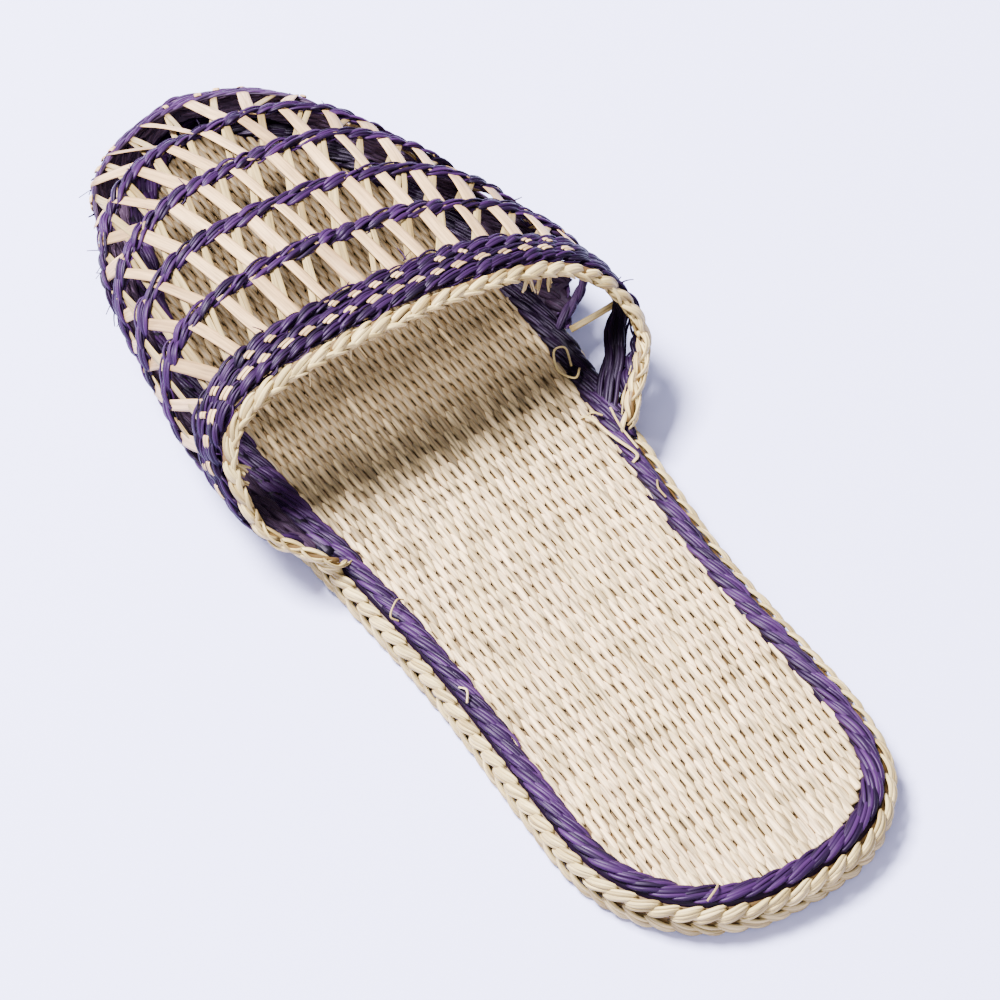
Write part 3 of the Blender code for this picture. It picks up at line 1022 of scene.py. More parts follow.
# --- pieces ------------------------------------------------------------------------------

# Lines across the upper: x at the ridge, how far they turn back at the sides, lean
CAP_EDGE = (222.0, 27.0, 0.0)
BAND_LINES = (
    (201.6, 28.0, 0.5), (181.4, 20.0, 1.5), (163.9, 19.0, -1.0), (146.8, 18.0, -1.5),
)
COLLAR_FRONT = (129.0, 13.0, 0.0)


def settle(weave: Weave, name: str, finish: StrawFinish, slot: str, *nodes: str) -> None:
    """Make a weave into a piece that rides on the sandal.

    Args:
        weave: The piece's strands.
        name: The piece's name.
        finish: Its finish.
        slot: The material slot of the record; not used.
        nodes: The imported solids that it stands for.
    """
    piece = weave.build(name, finish.build())
    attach(piece, BODY)
    if nodes:
        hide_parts(*nodes)
    LOG.info("%s: %d points, %d faces", name, len(piece.data.vertices), len(piece.data.polygons))


def slant(ends: tuple[float, ...], many: int) -> tuple[np.ndarray, np.ndarray]:
    """x and v of even places from the first x and v of ends to the second.

    Args:
        ends: x and v of one end, then of the other.
        many: The number of places.

    Returns:
        x and v of each place.
    """
    t = np.linspace(0.0, 1.0, many)
    x_low, v_low, x_high, v_high = ends
    return blend(x_low, x_high, t), blend(v_low, v_high, t)


@dataclass(frozen=True)
class Wave:
    """A slow wander of straws."""

    height: float
    length: float
    start: float = 0.0

    def at(self, place: np.ndarray, start: np.ndarray | float = 0.0) -> np.ndarray:
        """The wander at a place along the wave, begun further on by start."""
        return self.height * np.sin(place / self.length + self.start + start)


@dataclass
class WovenMat:
    """A mat of long straws that show as rows of staggered grains."""

    name: str
    node: str
    slot: str
    finish: StrawFinish
    inset: float
    bottom: float
    face: float
    row_pitch: float
    lane_pitch: float
    grain: float
    width: float
    sink: float = 1.1
    half_height: float = 0.36
    x_reach: Span = (-50.0, 240.0)
    y_reach: Span = (-50.0, 50.0)
    slab_points: int = 240
    sway: Wave = Wave(0.55, 31.0, 0.7)
    ripple: Wave = Wave(0.35, 13.0)
    ripple_across: float = 23.0
    shear: Wave = Wave(0.8, 17.0)
    astray: Span = (0.35, 0.09)
    tip_powers: Span = (4.2, 0.8)
    tip_width: float = 0.08
    heel_zone: Span = (8.0, 34.0)
    heel_growth: Span = (0.3, 0.4)
    size_chance: float = 0.12
    bend_chance: float = 0.10
    lift_from: float = 0.25
    lift: Span = (0.75, 0.16)
    depth: Span = (0.62, 0.55)
    tilt_chance: float = 0.2
    tones: Span = (0.2, 1.0)
    end_light: float = 0.5
    hull_lit: Span = (0.1, 0.6)
    # Painted shade under the upper: where the grains' tones drop and their light is cut, where it
    # is cut further, and by how much
    painted_shade_zone: Span = (86.0, 120.0)
    deeper_shade_zone: Span = (120.0, 150.0)
    painted_shade_shares: Span = (0.66, 0.16)
    shade_tone_drop: float = 0.75
    downward: bool = False
    stations: int = 9
    seed: int = 11
    sole: SoleForm = field(default_factory=SoleForm)

    def middles(self, weave: Weave) -> tuple[np.ndarray, np.ndarray]:
        """Middles of all grains, staggered from row to row and a little astray.

        Args:
            weave: The weave whose chance sets them astray.

        Returns:
            x and y of every grain.
        """
        rows = np.arange(*self.x_reach, self.row_pitch)
        lanes = np.arange(*self.y_reach, self.lane_pitch)
        x, y = np.meshgrid(rows, lanes, indexing="ij")
        y = y + 0.5 * self.lane_pitch * (np.arange(len(rows)) % 2)[:, None]
        wander = self.sway.at(x) + self.ripple.at(x, y / self.ripple_across)
        x = x + self.shear.at(y) + weave.vary(self.astray[0], *x.shape)
        y = y + wander + weave.vary(self.astray[1], *y.shape)
        return x.ravel(), y.ravel()

    def build(self) -> None:
        """Weave the mat."""
        weave = Weave(self.seed)
        way = -1.0 if self.downward else 1.0
        low, high = sorted((self.face - way * self.sink, self.bottom))
        # The plate under the grains, in painted shade, fills the slits between them
        weave.slab(self.sole.outline(self.inset, self.slab_points), low, high)
        x, y = self.middles(weave)
        u = np.linspace(-1.0, 1.0, self.stations)
        px = x[:, None] + 0.5 * self.grain * u
        covered = self.sole.contains(px, y[:, None] + np.zeros_like(px), self.inset)
        keep = 2 * covered.sum(axis=1) >= self.stations - 1
        x, y, px, covered = x[keep], y[keep], px[keep], covered[keep]
        low_x = np.where(covered, px, np.inf).min(axis=1)[:, None]
        high_x = np.where(covered, px, -np.inf).max(axis=1)[:, None]
        px = low_x + (high_x - low_x) * 0.5 * (u + 1)
        apart = np.clip(np.abs(px - x[:, None]) / (self.grain / 2), 0.0, 1.0)
        hull = (1 - apart ** self.tip_powers[0]) ** self.tip_powers[1]
        many = len(x)
        growth, spared = self.heel_growth
        heel = growth * ease(-x, *self.heel_zone)[:, None]
        size = 1 + weave.vary(self.size_chance, many, 1)
        size = size + heel * (weave.rng.random((many, 1)) > spared)
        half = 0.5 * self.width * size * blend(self.tip_width, 1.0, hull)
        bend = weave.vary(self.bend_chance, many, 1)
        py = y[:, None] + bend * (px - x[:, None]) / self.grain
        lift = (hull - self.lift_from) * (self.lift[0] + weave.vary(self.lift[1], many, 1))
        pz = self.face + way * self.sink * (self.depth[0] * lift - self.depth[1])
        paths = np.stack([px, py, pz], axis=-1)
        ups = np.zeros_like(paths)
        ups[..., 2] = way
        ups[..., 1] = weave.vary(self.tilt_chance, many, 1)
        # Painted shade under the upper: from the collar towards the toe the grains' tones drop and
        # their light is cut, more so further in
        under_upper_shade = ease(x, *self.painted_shade_zone)
        painted_shade = self.painted_shade_shares[0] * under_upper_shade + self.painted_shade_shares[1] * ease(x, *self.deeper_shade_zone)
        tones = np.clip(weave.rng.uniform(*self.tones, many) - self.shade_tone_drop * under_upper_shade, 0.0, 1.0)
        lit = blend(self.end_light, 1.0, ease(hull, *self.hull_lit)) * (1 - painted_shade[:, None])
        weave.strands(paths, unit(ups), half, self.half_height, Section.GRAIN, lit, tones)
        settle(weave, self.name, self.finish, self.slot, self.node)


@dataclass
class BorderRing:
    """The purple two-ply ring that edges the insole, with a second ring beside it in front."""

    inset: float = 5.15
    height: float = 8.75
    core_size: Span = (2.6, 2.2)
    core_drop: float = 2.05
    inner_from: float = 89.0
    inner_inset: float = 2.9
    inner_height: float = 9.0
    inner_core_size: Span = (1.4, 1.1)
    inner_core_drop: float = 0.1
    inner_scale: float = 0.9
    # Painted shade on the ring inside the upper: where it starts and ends, its share on the right
    # and the left, and where it turns
    ring_shade_zone: Span = (84.0, 104.0)
    ring_shade_sides: Span = (1.0, 0.5)
    ring_shade_turn: Span = (-10.0, 10.0)
    pitch: float = 4.7
    seed: int = 23
    stitch: Stitch = Stitch(length=12.0, width=4.0, lean=1.1, crown=1.05, dip=0.4, straws=4,
                            thickness=0.5, roundness=0.55, blunt=0.3, stations=11, rough=1.3)
    sole: SoleForm = field(default_factory=SoleForm)

    def inner(self) -> Course:
        """The open line of the second ring, round the toe.

        Returns:
            The line as a course.
        """
        beside = self.sole.course(self.inner_inset, self.inner_height, 0.0, 1.0)
        kept = beside.points[:, 0] > self.inner_from
        first = int(np.argmax(kept & ~np.roll(kept, 1)))
        order = np.roll(np.arange(len(kept)), -first)
        order = order[kept[order]]
        return Course(beside.points[order], beside.normals[order])

    def build(self) -> None:
        """Twine the ring."""
        weave = Weave(self.seed)
        ring = self.sole.course(self.inset, self.height, 0.0, 1.0)
        core(weave, ring, self.core_size, self.core_drop)
        self.stitch.row(weave, ring, self.pitch)
        inner = self.inner()
        core(weave, inner, self.inner_core_size, self.inner_core_drop)
        self.stitch.row(weave, inner, self.pitch, scale=self.inner_scale)
        # Painted shade: inside the upper the ring's light is cut, fully on the right side and by
        # half on the left
        for points, lit in zip(weave.points, weave.lit):
            ring_shade = blend(*self.ring_shade_sides, ease(points[:, 1], *self.ring_shade_turn))
            lit *= 1 - ring_shade * ease(points[:, 0], *self.ring_shade_zone)
        settle(weave, "insole_border_twine", PURPLE, "purple_straw", "insole_border")


@dataclass
class SideBraid:
    """One plait of leaf-shaped stitches round the sole's edge."""

    name: str
    node: str
    height: float
    hand: Hand
    upward: float
    seed: int
    pitch: float = 4.9
    inset: float = 1.35
    core_size: Span = (1.5, 0.7)
    core_drop: float = 0.9
    stitch: Stitch = Stitch(length=7.8, width=3.5, lean=0.95, crown=1.1, dip=0.45, straws=4,
                            thickness=0.6, roundness=0.8, blunt=0.2)
    sole: SoleForm = field(default_factory=SoleForm)

    def build(self) -> None:
        """Plait the braid."""
        weave = Weave(self.seed)
        course = self.sole.course(self.inset, self.height, 1.0, self.upward)
        core(weave, course, self.core_size, self.core_drop)
        replace(self.stitch, hand=self.hand).row(weave, course, self.pitch)
        settle(weave, self.name, YELLOW, "straw", self.node)


@dataclass
class CrossBand:
    """One twined purple band across the upper."""

    number: int
    line: Place
    upper: UpperForm
    end_v: float = 0.765
    pitch: float = 4.5
    phase_step: float = 0.37
    offset: float = 0.45
    core_size: Span = (1.3, 0.5)
    inner_phase: float = 0.5
    inner_scale: float = 0.85
    points: int = 260
    first_seed: int = 40
    stitch: Stitch = Stitch(length=8.8, width=4.15, lean=0.95, crown=1.1, dip=0.35, straws=5,
                            thickness=0.42, roundness=0.6, blunt=0.45, rough=3.2)

    def build(self) -> None:
        """Twine the band on the outer and the inner face."""
        weave = Weave(self.first_seed + self.number)
        v = np.linspace(-self.end_v, self.end_v, self.points)
        outer, inner = self.upper.faces(self.upper.swept(self.line, v), v, self.offset)
        core(weave, outer, self.core_size)
        phase = self.phase_step * self.number % 1.0
        self.stitch.row(weave, outer, self.pitch, phase)
        self.stitch.row(weave, inner, self.pitch, phase + self.inner_phase, self.inner_scale)
        node = "cross_band_%d" % self.number
        settle(weave, node + "_twine", PURPLE, "purple_straw", node)


@dataclass(frozen=True)
class LozengeRow:
    """A row of short cream lozenges, two straws each, between two purple rows."""

    width: float
    reach: float
    slide: float
    phase: float
    left_out: float
    slip_chance: float = 0.35
    size_chance: float = 0.15
    height: float = 1.5
    height_chance: float = 0.12
    crown: float = 0.25
    shear: float = 0.30
    apart: float = 0.27
    straw_share: float = 0.28
    thickness: float = 0.28
    end_light: float = 0.6


@dataclass
class CollarBand:
    """Three twined purple rows with two rows of cream lozenges between them."""

    upper: UpperForm
    back_gap: float = 3.0
    front: Place = COLLAR_FRONT
    end_v: float = 0.76
    rows: Place = (0.09, 0.485, 0.88)
    foot_v: float = 0.95
    widening: float = 0.45
    widening_v: Span = (0.42, 0.66)
    widening_rows: Span = (0.2, 0.4)
    pitch: float = 4.4
    phase_step: float = 0.31
    offset: float = 0.45
    core_size: Span = (1.25, 0.5)
    inner_phase: float = 0.5
    inner_scales: Place = (1.2, 0.9, 0.9)
    points: int = 300
    seeds: tuple[int, int] = (51, 52)
    stitch: Stitch = Stitch(length=8.8, width=3.7, lean=0.9, crown=1.1, dip=0.3, straws=5,
                            thickness=0.42, roundness=0.6, blunt=0.45, rough=3.0)
    ply_ahead: float = 9.1
    ply_v: Span = (-1.0, -0.6)
    ply_points: int = 120
    ply_offset: float = -0.4
    ply_pitch: float = 7.5
    ply_phases: Span = (0.35, 0.15)
    ply_core: Span = (2.3, 0.35)
    ply_light: float = 0.12
    ply: Stitch = Stitch(length=19.0, width=5.6, lean=0.35, crown=0.8, dip=0.2, straws=6,
                         thickness=0.4, roundness=0.4, blunt=0.6, stations=11, rough=1.5)
    lozenge_pitch: float = 5.5
    lozenge_stations: int = 7
    lozenge_rows: tuple[LozengeRow, LozengeRow] = (
        LozengeRow(1.55, 0.05, 1.5, 0.25, 0.0), LozengeRow(1.4, 0.03, 0.85, 0.75, 0.3))
    open_length: float = 22.0

    def x_at(self, share: np.ndarray | float, v: np.ndarray) -> np.ndarray:
        """x at v of a line that lies a share of the way from the back edge to the front.

        Args:
            share: The line's share of the way.
            v: Places across the upper.

        Returns:
            x for each v.
        """
        back = self.upper.collar(v, self.back_gap)
        wider = ease(0.0 - v, *self.widening_v) * ease(share + 0.0 * v, *self.widening_rows)
        share = share + (1.0 - share) * self.widening * wider
        return back + (self.upper.swept(self.front, v) - back) * share

    def twine(self) -> None:
        """Twine the purple rows and the wide ply in front of them on the right."""
        weave = Weave(self.seeds[0])
        for number, (share, scale) in enumerate(zip(self.rows, self.inner_scales)):
            reach = self.foot_v if number == 0 else self.end_v
            v = np.linspace(-reach, reach, self.points)
            outer, inner = self.upper.faces(self.x_at(share, v), v, self.offset)
            core(weave, outer, self.core_size)
            phase = self.phase_step * number
            self.stitch.row(weave, outer, self.pitch, phase)
            self.stitch.row(weave, inner, self.pitch, phase + self.inner_phase, scale)
        v = np.linspace(*self.ply_v, self.ply_points)
        faces = self.upper.faces(self.upper.collar(v, self.ply_ahead), v, self.ply_offset)
        core(weave, faces[0], self.ply_core)
        first = len(weave.lit)
        for course, phase in zip(faces, self.ply_phases):
            self.ply.row(weave, course, self.ply_pitch, phase)
        weave.dim(first, self.ply_light)
        settle(weave, "collar_band_twine", DEEP_PURPLE, "purple_straw", "collar_band")

    def lozenges(self) -> None:
        """Lay the cream straws that show between the rows."""
        weave = Weave(self.seeds[1])
        middles = 0.5 * (np.array(self.rows[:-1]) + np.array(self.rows[1:]))
        t = np.linspace(-1.0, 1.0, self.lozenge_stations)
        line_v = np.linspace(-self.end_v, self.end_v, self.points)
        for share, row in zip(middles, self.lozenge_rows):
            course = self.upper.faces(self.x_at(share, line_v), line_v, self.offset)[0]
            centres = course.spread(self.lozenge_pitch, row.phase)
            centres = centres + weave.vary(row.slip_chance, len(centres))
            centres = centres[weave.rng.random(len(centres)) > row.left_out]
            centres = centres[centres > self.open_length]
            many = len(centres)
            slide = (row.slide + weave.vary(row.slip_chance, many))[:, None]
            s = centres[:, None] - slide * t
            reach = row.reach * (1 + weave.vary(row.size_chance, many, 1))
            x = self.x_at(share + reach * t, np.interp(s, course.dense[0], line_v))
            lift = row.height + row.crown * (1 - t ** 4) + weave.vary(row.height_chance, many, 1)
            lit = blend(row.end_light, 1.0, 1 - np.abs(t) ** 5)
            for lane in (-1.0, 1.0):
                v = np.interp(s + row.shear * lane, course.dense[0], line_v)
                lane_x = x + row.apart * row.width * lane
                size = 1 + weave.vary(row.size_chance, many, 1)
                weave.strands(self.upper.point(lane_x, v, lift), self.upper.normal(lane_x, v),
                              row.straw_share * row.width * size, row.thickness / 2,
                              Section.RIBBON, lit)
        settle(weave, "collar_band_lozenges", CREAM, "straw")


@dataclass(frozen=True)
class CrossStraw:
    """How one straw of a cross lies.

    Its slope is how far it runs along the row from the toe side to the heel side, and its
    fan shifts its toe end and its heel end. Its width is that of the toe end, that of the
    heel end and how much both vary. Its bow is its rise in the middle and how much it varies.
    """

    slope: float
    fan: Span
    width: Place
    lift: float
    astray: float
    light: float
    bow: Span = (0.25, 0.2)
    widening: Span = (0.1, 0.8)
    tilt_chance: float = 0.25
    twist_chance: float = 0.3
    thickness: float = 0.4
    tip_share: float = 0.16
    tip_light: float = 0.3


@dataclass
class Lattice:
    """Crossed straws in five rows between the toe cap, the bands and the collar band."""

    upper: UpperForm
    lines: tuple[Place, ...]
    pitches: tuple[float, ...] = (10.2, 9.2, 8.5, 8.3, 8.3)
    usual_pitch: float = 8.5
    end_v: float = 0.75
    cross_at: float = 0.64
    margin: float = 0.07
    far: Span = (20.0, 0.25)
    stations: int = 11
    points: int = 500
    seeds: tuple[int, int] = (61, 62)
    ribbon: CrossStraw = CrossStraw(-1.2, (0.0, 0.0), (2.85, 3.25, 0.35), 0.75, 0.55, 1.0)
    pair: tuple[CrossStraw, CrossStraw] = (
        CrossStraw(7.4, (-0.2, -0.8), (1.5, 1.5, 0.3), 0.2, 0.6, 0.3),
        CrossStraw(7.4, (0.5, 1.0), (1.4, 1.5, 0.3), -0.15, 0.6, 0.3))

    @cached_property
    def tracks(self) -> list[tuple[np.ndarray, np.ndarray, np.ndarray]]:
        """For each line its v, its x and its points.

        Returns:
            Three arrays for each line.
        """
        v = np.linspace(-self.end_v, self.end_v, self.points)
        return [(v, x, self.upper.section(x, v))
                for x in (self.upper.swept(line, v) for line in self.lines)]

    def crossings(self, row: int) -> tuple[np.ndarray, np.ndarray]:
        """Middles of a row's crosses.

        Args:
            row: The row's number, 0 next to the toe cap.

        Returns:
            Points on the row's middle line and the line's directions there.
        """
        middle = 0.5 * (self.tracks[row][2] + self.tracks[row + 1][2])
        lengths = run_along(middle)
        many = int(round(lengths[-1] / self.pitches[row]))
        s = (np.arange(many) + 0.5) * lengths[-1] / many
        behind, place, ahead = (at_lengths(s + step, lengths, middle) for step in (-1.0, 0.0, 1.0))
        return place, unit(ahead - behind)

    def foot(self, line: int, place: np.ndarray, along: np.ndarray,
             shift: np.ndarray) -> tuple[np.ndarray, np.ndarray]:
        """x and v on a line, square across from each cross and then shifted along the row.

        Args:
            line: The line's number.
            place: Middles of the crosses.
            along: The row's direction at each cross.
            shift: Distance along the row, for each cross.

        Returns:
            x and v of the places found.
        """
        v, x, points = self.tracks[line]
        apart = points[None] - place[:, None]
        run = np.einsum("ijk,ik->ij", apart, along)
        start, weight = self.far
        miss = np.abs(run - shift[:, None]) + weight * np.maximum(
            np.linalg.norm(apart, axis=-1) - start, 0.0)
        found = np.argmin(miss, axis=1)
        return x[found], v[found]

    def lay(self, weave: Weave, row: int, straw: CrossStraw, slope: float) -> None:
        """Lay one straw of every cross in a row.

        Args:
            weave: The weave that takes them.
            row: The row's number.
            straw: How the straw lies.
            slope: Its slope in this row.
        """
        place, along = self.crossings(row)
        many = len(place)
        wobble = weave.vary(straw.astray, many, 2)
        ends = [slope * (end - self.cross_at) + straw.fan[end] + wobble[:, end] for end in (0, 1)]
        x_toe, v_toe = self.foot(row, place, along, ends[0])
        x_heel, v_heel = self.foot(row + 1, place, along, ends[1])
        t = np.linspace(-self.margin, 1 + self.margin, self.stations)[None, :, None]
        toe = self.upper.point(x_toe, v_toe, np.full(many, straw.lift))[:, None]
        heel = self.upper.point(x_heel, v_heel, np.full(many, straw.lift))[:, None]
        out = unit(self.upper.normal(x_toe, v_toe) + self.upper.normal(x_heel, v_heel))[:, None]
        arch = np.sin(math.pi * np.clip(t, 0.0, 1.0))
        aside = np.cross(out, unit(heel - toe))
        bow, chance = straw.bow
        paths = toe + (heel - toe) * t + out * (bow + weave.vary(chance, many, 1, 1)) * arch
        paths = paths + aside * weave.vary(chance, many, 1, 1) * arch
        t = t[..., 0]
        toe_width, heel_width, chance = straw.width
        wide = blend(toe_width, heel_width, ease(t, *straw.widening))
        wide = (wide + weave.vary(chance, many, 1)) / 2
        tilt = weave.vary(straw.tilt_chance, many, 1) + weave.vary(straw.twist_chance, many, 1) * t
        lit = ease(np.minimum(t, 1 - t), 0.0, straw.tip_share)
        weave.strands(paths, unit(out + aside * tilt[..., None]), wide, straw.thickness / 2,
                      Section.RIBBON, straw.light * blend(straw.tip_light, 1.0, lit))

    def ribbons(self) -> None:
        """Lay the broad flat ribbons in front."""
        weave = Weave(self.seeds[0])
        for row in range(len(self.pitches)):
            self.lay(weave, row, self.ribbon, self.ribbon.slope)
        settle(weave, "lattice_ribbons", CREAM, "straw", "upper")

    def strands(self) -> None:
        """Lay the pairs of thinner straws that cross behind the ribbons."""
        weave = Weave(self.seeds[1])
        for row, pitch in enumerate(self.pitches):
            for straw in self.pair:
                self.lay(weave, row, straw, straw.slope * pitch / self.usual_pitch)
        settle(weave, "lattice_strands", YELLOW, "straw")


@dataclass(frozen=True)
class Dot:
    """A short pale bit of straw that shows between two rows of the toe cap."""

    pitch: float = 9.0
    slip_chance: float = 1.5
    left_out: float = 0.45
    rise: float = 1.15
    half_length: Span = (0.9, 0.3)
    lean_chance: float = 0.3
    sag: float = 0.35
    width: Span = (1.5, 0.4)
    thickness: float = 0.4
    light: float = 0.9
    stations: int = 5


@dataclass
class ToeCap:
    """Close-twined purple rows round the toe and low along both sides."""

    upper: UpperForm
    edge: Place = CAP_EDGE
    foot_v: float = 0.995
    hub_x: float = 200.0
    hub_y: float = 1.0
    nose_share: float = 0.3
    side_rows: int = 4
    nose_rows: int = 6
    row_turn: Span = (0.12, 0.46)
    far_reach: float = 70.0
    halvings: int = 26
    middle: Place = (150.0, 1.0, 5.0)
    opening: float = 30.0
    least_width: float = 0.4
    scale_limits: Span = (0.9, 4.2)
    posts: Table = (
        # x and v of a post's foot, x and v of its top
        (121.0, -0.99, 132.5, -0.6),
    )
    post_scale: float = 2.3
    post_offset: float = -0.3
    post_phase: float = 0.3
    post_points: int = 40
    pitch: float = 4.4
    phase_step: float = 0.37
    face_phases: Span = (0.5, 0.0)
    slip_chance: float = 0.3
    offset: float = 0.45
    trim_start: float = 4.3
    trim_v: Span = (0.6, 1.0)
    back_x: float = 92.0
    back_points: int = 60
    edge_points: int = 400
    row_points: int = 700
    smoothings: int = 3
    seeds: tuple[int, int, int] = (71, 73, 72)
    stitch: Stitch = Stitch(length=8.6, width=0.92, lean=0.27, crown=0.30, dip=0.10, straws=4,
                            thickness=0.5, roundness=0.7, blunt=0.35, rough=1.6)
    lining_stations: int = 6
    closing_points: int = 180
    closing_share: float = 0.58
    foot_widening: float = 1.3
    closing_thickness: float = 0.6
    closing_light: float = 0.9
    light_zone: Span = (160.0, 200.0)
    edge_light: float = 0.15
    dot: Dot = Dot()

    def polar(self, points: np.ndarray) -> tuple[np.ndarray, np.ndarray]:
        """Place points by their way round the toe and their elevation.

        Args:
            points: Points near the outer face.

        Returns:
            Way round, from -1 at the right collar to 1 at the left, and elevation in radians.
        """
        dx, dy = points[..., 0] - self.hub_x, points[..., 1] - self.hub_y
        dz = points[..., 2] - self.upper.base_z
        nose = self.nose_share * np.arctan2(np.abs(dy), np.maximum(dx, 1e-6)) / (0.5 * math.pi)
        side = self.nose_share - (1 - self.nose_share) * dx / (self.hub_x - self.back_x)
        way = np.where(dx > 0, nose, side) * np.sign(dy)
        flat = np.where(dx > 0, np.hypot(dx, dy), np.abs(dy))
        return way, np.arctan2(dz, flat)

    @cached_property
    def limits(self) -> tuple[np.ndarray, np.ndarray, np.ndarray, np.ndarray]:
        """Way round and elevation of the cap's upper edge, then of its foot.

        Returns:
            Four arrays; ways round rise.
        """
        widest_v, tip_x = self.upper.widest_v, self.upper.tip_x
        v = np.linspace(-widest_v, widest_v, self.edge_points)
        top = self.upper.section(self.upper.swept(self.edge, v), v)
        back = np.linspace(self.back_x, top[0, 0], self.back_points)[:-1]
        right = self.upper.section(back, -widest_v)
        left = self.upper.section(back[::-1], widest_v)
        top_way, top_rise = self.polar(np.vstack([right, top, left]))
        root = np.linspace(math.sqrt(tip_x - self.back_x), 0.0, self.edge_points)
        x = tip_x - root ** 2
        right = self.upper.section(x, -self.foot_v)
        left = self.upper.section(x[::-1], self.foot_v)
        foot_way, foot_rise = self.polar(np.vstack([right, left[1:]]))
        top_order, foot_order = np.argsort(top_way), np.argsort(foot_way)
        return (top_way[top_order], top_rise[top_order],
                foot_way[foot_order], foot_rise[foot_order])

    def shell(self, way: np.ndarray, share: np.ndarray) -> np.ndarray:
        """Points of the outer face at a way round and a share of the cap's height.

        Args:
            way: Way round the toe, from -1 to 1.
            share: Share of the cap's height.

        Returns:
            Three numbers for each place.
        """
        top_way, top_rise, foot_way, foot_rise = self.limits
        rise = blend(np.interp(way, foot_way, foot_rise), np.interp(way, top_way, top_rise), share)
        nose = np.abs(way) < self.nose_share
        turn = 0.5 * math.pi * np.where(nose, way / self.nose_share, np.sign(way))
        back = np.maximum(np.abs(way) - self.nose_share, 0.0) / (1 - self.nose_share)
        hub = np.stack([self.hub_x - back * (self.hub_x - self.back_x),
                        np.full_like(way, self.hub_y),
                        np.full_like(way, self.upper.base_z)], axis=-1)
        ray = np.stack([np.cos(turn) * np.cos(rise), np.sin(turn) * np.cos(rise),
                        np.sin(rise)], axis=-1)
        near, far = np.zeros_like(way), np.full_like(way, self.far_reach)
        for _ in range(self.halvings):
            middle = 0.5 * (near + far)
            within = self.upper.inside(hub + ray * middle[..., None])
            near, far = np.where(within, middle, near), np.where(within, far, middle)
        return hub + ray * near[..., None]

    def border(self, number: int, way: np.ndarray) -> np.ndarray:
        """Share of the cap's height at the foot of a row, along the way round.

        Args:
            number: The row, 0 at the foot.
            way: Way round the toe, from -1 to 1.

        Returns:
            The share at each way round.
        """
        nose = number / self.nose_rows
        side = min(number / self.side_rows, 1.0)
        return blend(nose, side, ease(np.abs(way), *self.row_turn))

    def ends(self, points: np.ndarray) -> np.ndarray:
        """x where the rows start behind, at the height and on the side of each point.

        Args:
            points: Points of a row's line.

        Returns:
            x for each point.
        """
        v = np.linspace(*self.trim_v, self.back_points)
        starts = []
        for side in (v, 0.0 - v):
            start = self.upper.section(self.upper.collar(side, self.trim_start), side)[::-1]
            starts.append(np.interp(points[:, 2], start[:, 2], start[:, 0]))
        return np.where(points[:, 1] > 0, starts[0], starts[1] + self.opening)

    def row(self, number: int) -> tuple[Course, np.ndarray]:
        """One row's line and its width along the way.

        Args:
            number: The row, 0 at the foot.

        Returns:
            The course and the row's width at each of its points.
        """
        way = np.linspace(-1.0, 1.0, self.row_points)
        low, high = self.border(number, way), self.border(number + 1, way)
        foot, top = self.shell(way, low), self.shell(way, high)
        width = np.linalg.norm(top - foot, axis=1)
        points = self.shell(way, 0.5 * (low + high))
        along = np.gradient(points, axis=0)
        normals = unit(np.cross(along, top - foot + 1e-9 * along))
        flip = np.sign(np.sum(normals * (points - np.array(self.middle)), axis=1))[:, None]
        normals = unit(normals * flip)
        for _ in range(self.smoothings):
            normals = unit(normals + np.roll(normals, 2, axis=0) + np.roll(normals, -2, axis=0))
        keep = (points[:, 0] > self.ends(points)) & (width > self.least_width)
        return Course((points + normals * self.offset)[keep], normals[keep]), width[keep]

    def lay(self, weave: Weave, number: int, outward: bool,
            stitch: Stitch) -> tuple[Course, np.ndarray]:
        """Lay one row's stitches.

        Args:
            weave: The weave that takes them.
            number: The row.
            outward: True on the outer face, False on the inner.
            stitch: The stitch that it repeats.

        Returns:
            The row's course and its width at each point.
        """
        course, width = self.row(number)
        phase = self.phase_step * number % 1.0 + self.face_phases[outward]
        centres = course.spread(self.pitch, phase)
        centres = centres + weave.vary(self.slip_chance, len(centres))
        scale = np.interp(centres, course.dense[0], width)
        line = Course(course.points, course.normals if outward else -course.normals)
        stitch.lay(weave, line, centres, scale=np.clip(scale, *self.scale_limits))
        return course, width

    def twine(self) -> None:
        """Twine all rows and the posts."""
        weave = Weave(self.seeds[0])
        for number in range(self.nose_rows):
            self.lay(weave, number, True, self.stitch)
        first = len(weave.lit)
        for post in self.posts:
            for course in self.upper.faces(*slant(post, self.post_points), self.post_offset):
                self.stitch.row(weave, course, self.pitch, self.post_phase, self.post_scale)
        weave.dim(first, 0.0)
        settle(weave, "toe_cap_twine", TOE_PAINTED_LIGHT_PURPLE, "purple_straw", "toe_cap")

    def lining(self) -> None:
        """Lay the inner face's stitches and the straws that close the rows."""
        weave = Weave(self.seeds[1])
        plain = replace(self.stitch, stations=self.lining_stations)
        for number in range(self.nose_rows):
            first = len(weave.lit)
            course, width = self.lay(weave, number, False, plain)
            s = np.linspace(0.0, course.length, self.closing_points)
            place, _, _, up = course.at(s)
            wide = self.closing_share * np.interp(s, course.dense[0], width)
            wide = wide + (self.foot_widening if number == 0 else 0.0)
            weave.strands(place[None], up[None], wide[None], self.closing_thickness / 2,
                          Section.CORE, self.closing_light)
            # Painted light: the lighter lining purple shows only inside the nose; further back its
            # light is cut, and the top row's is cut to a small share
            light = self.edge_light if number == self.nose_rows - 1 else 1.0
            weave.dim(first, light, self.light_zone)
        settle(weave, "toe_cap_lining", LINING_PAINTED_LIGHT_PURPLE, "purple_straw")

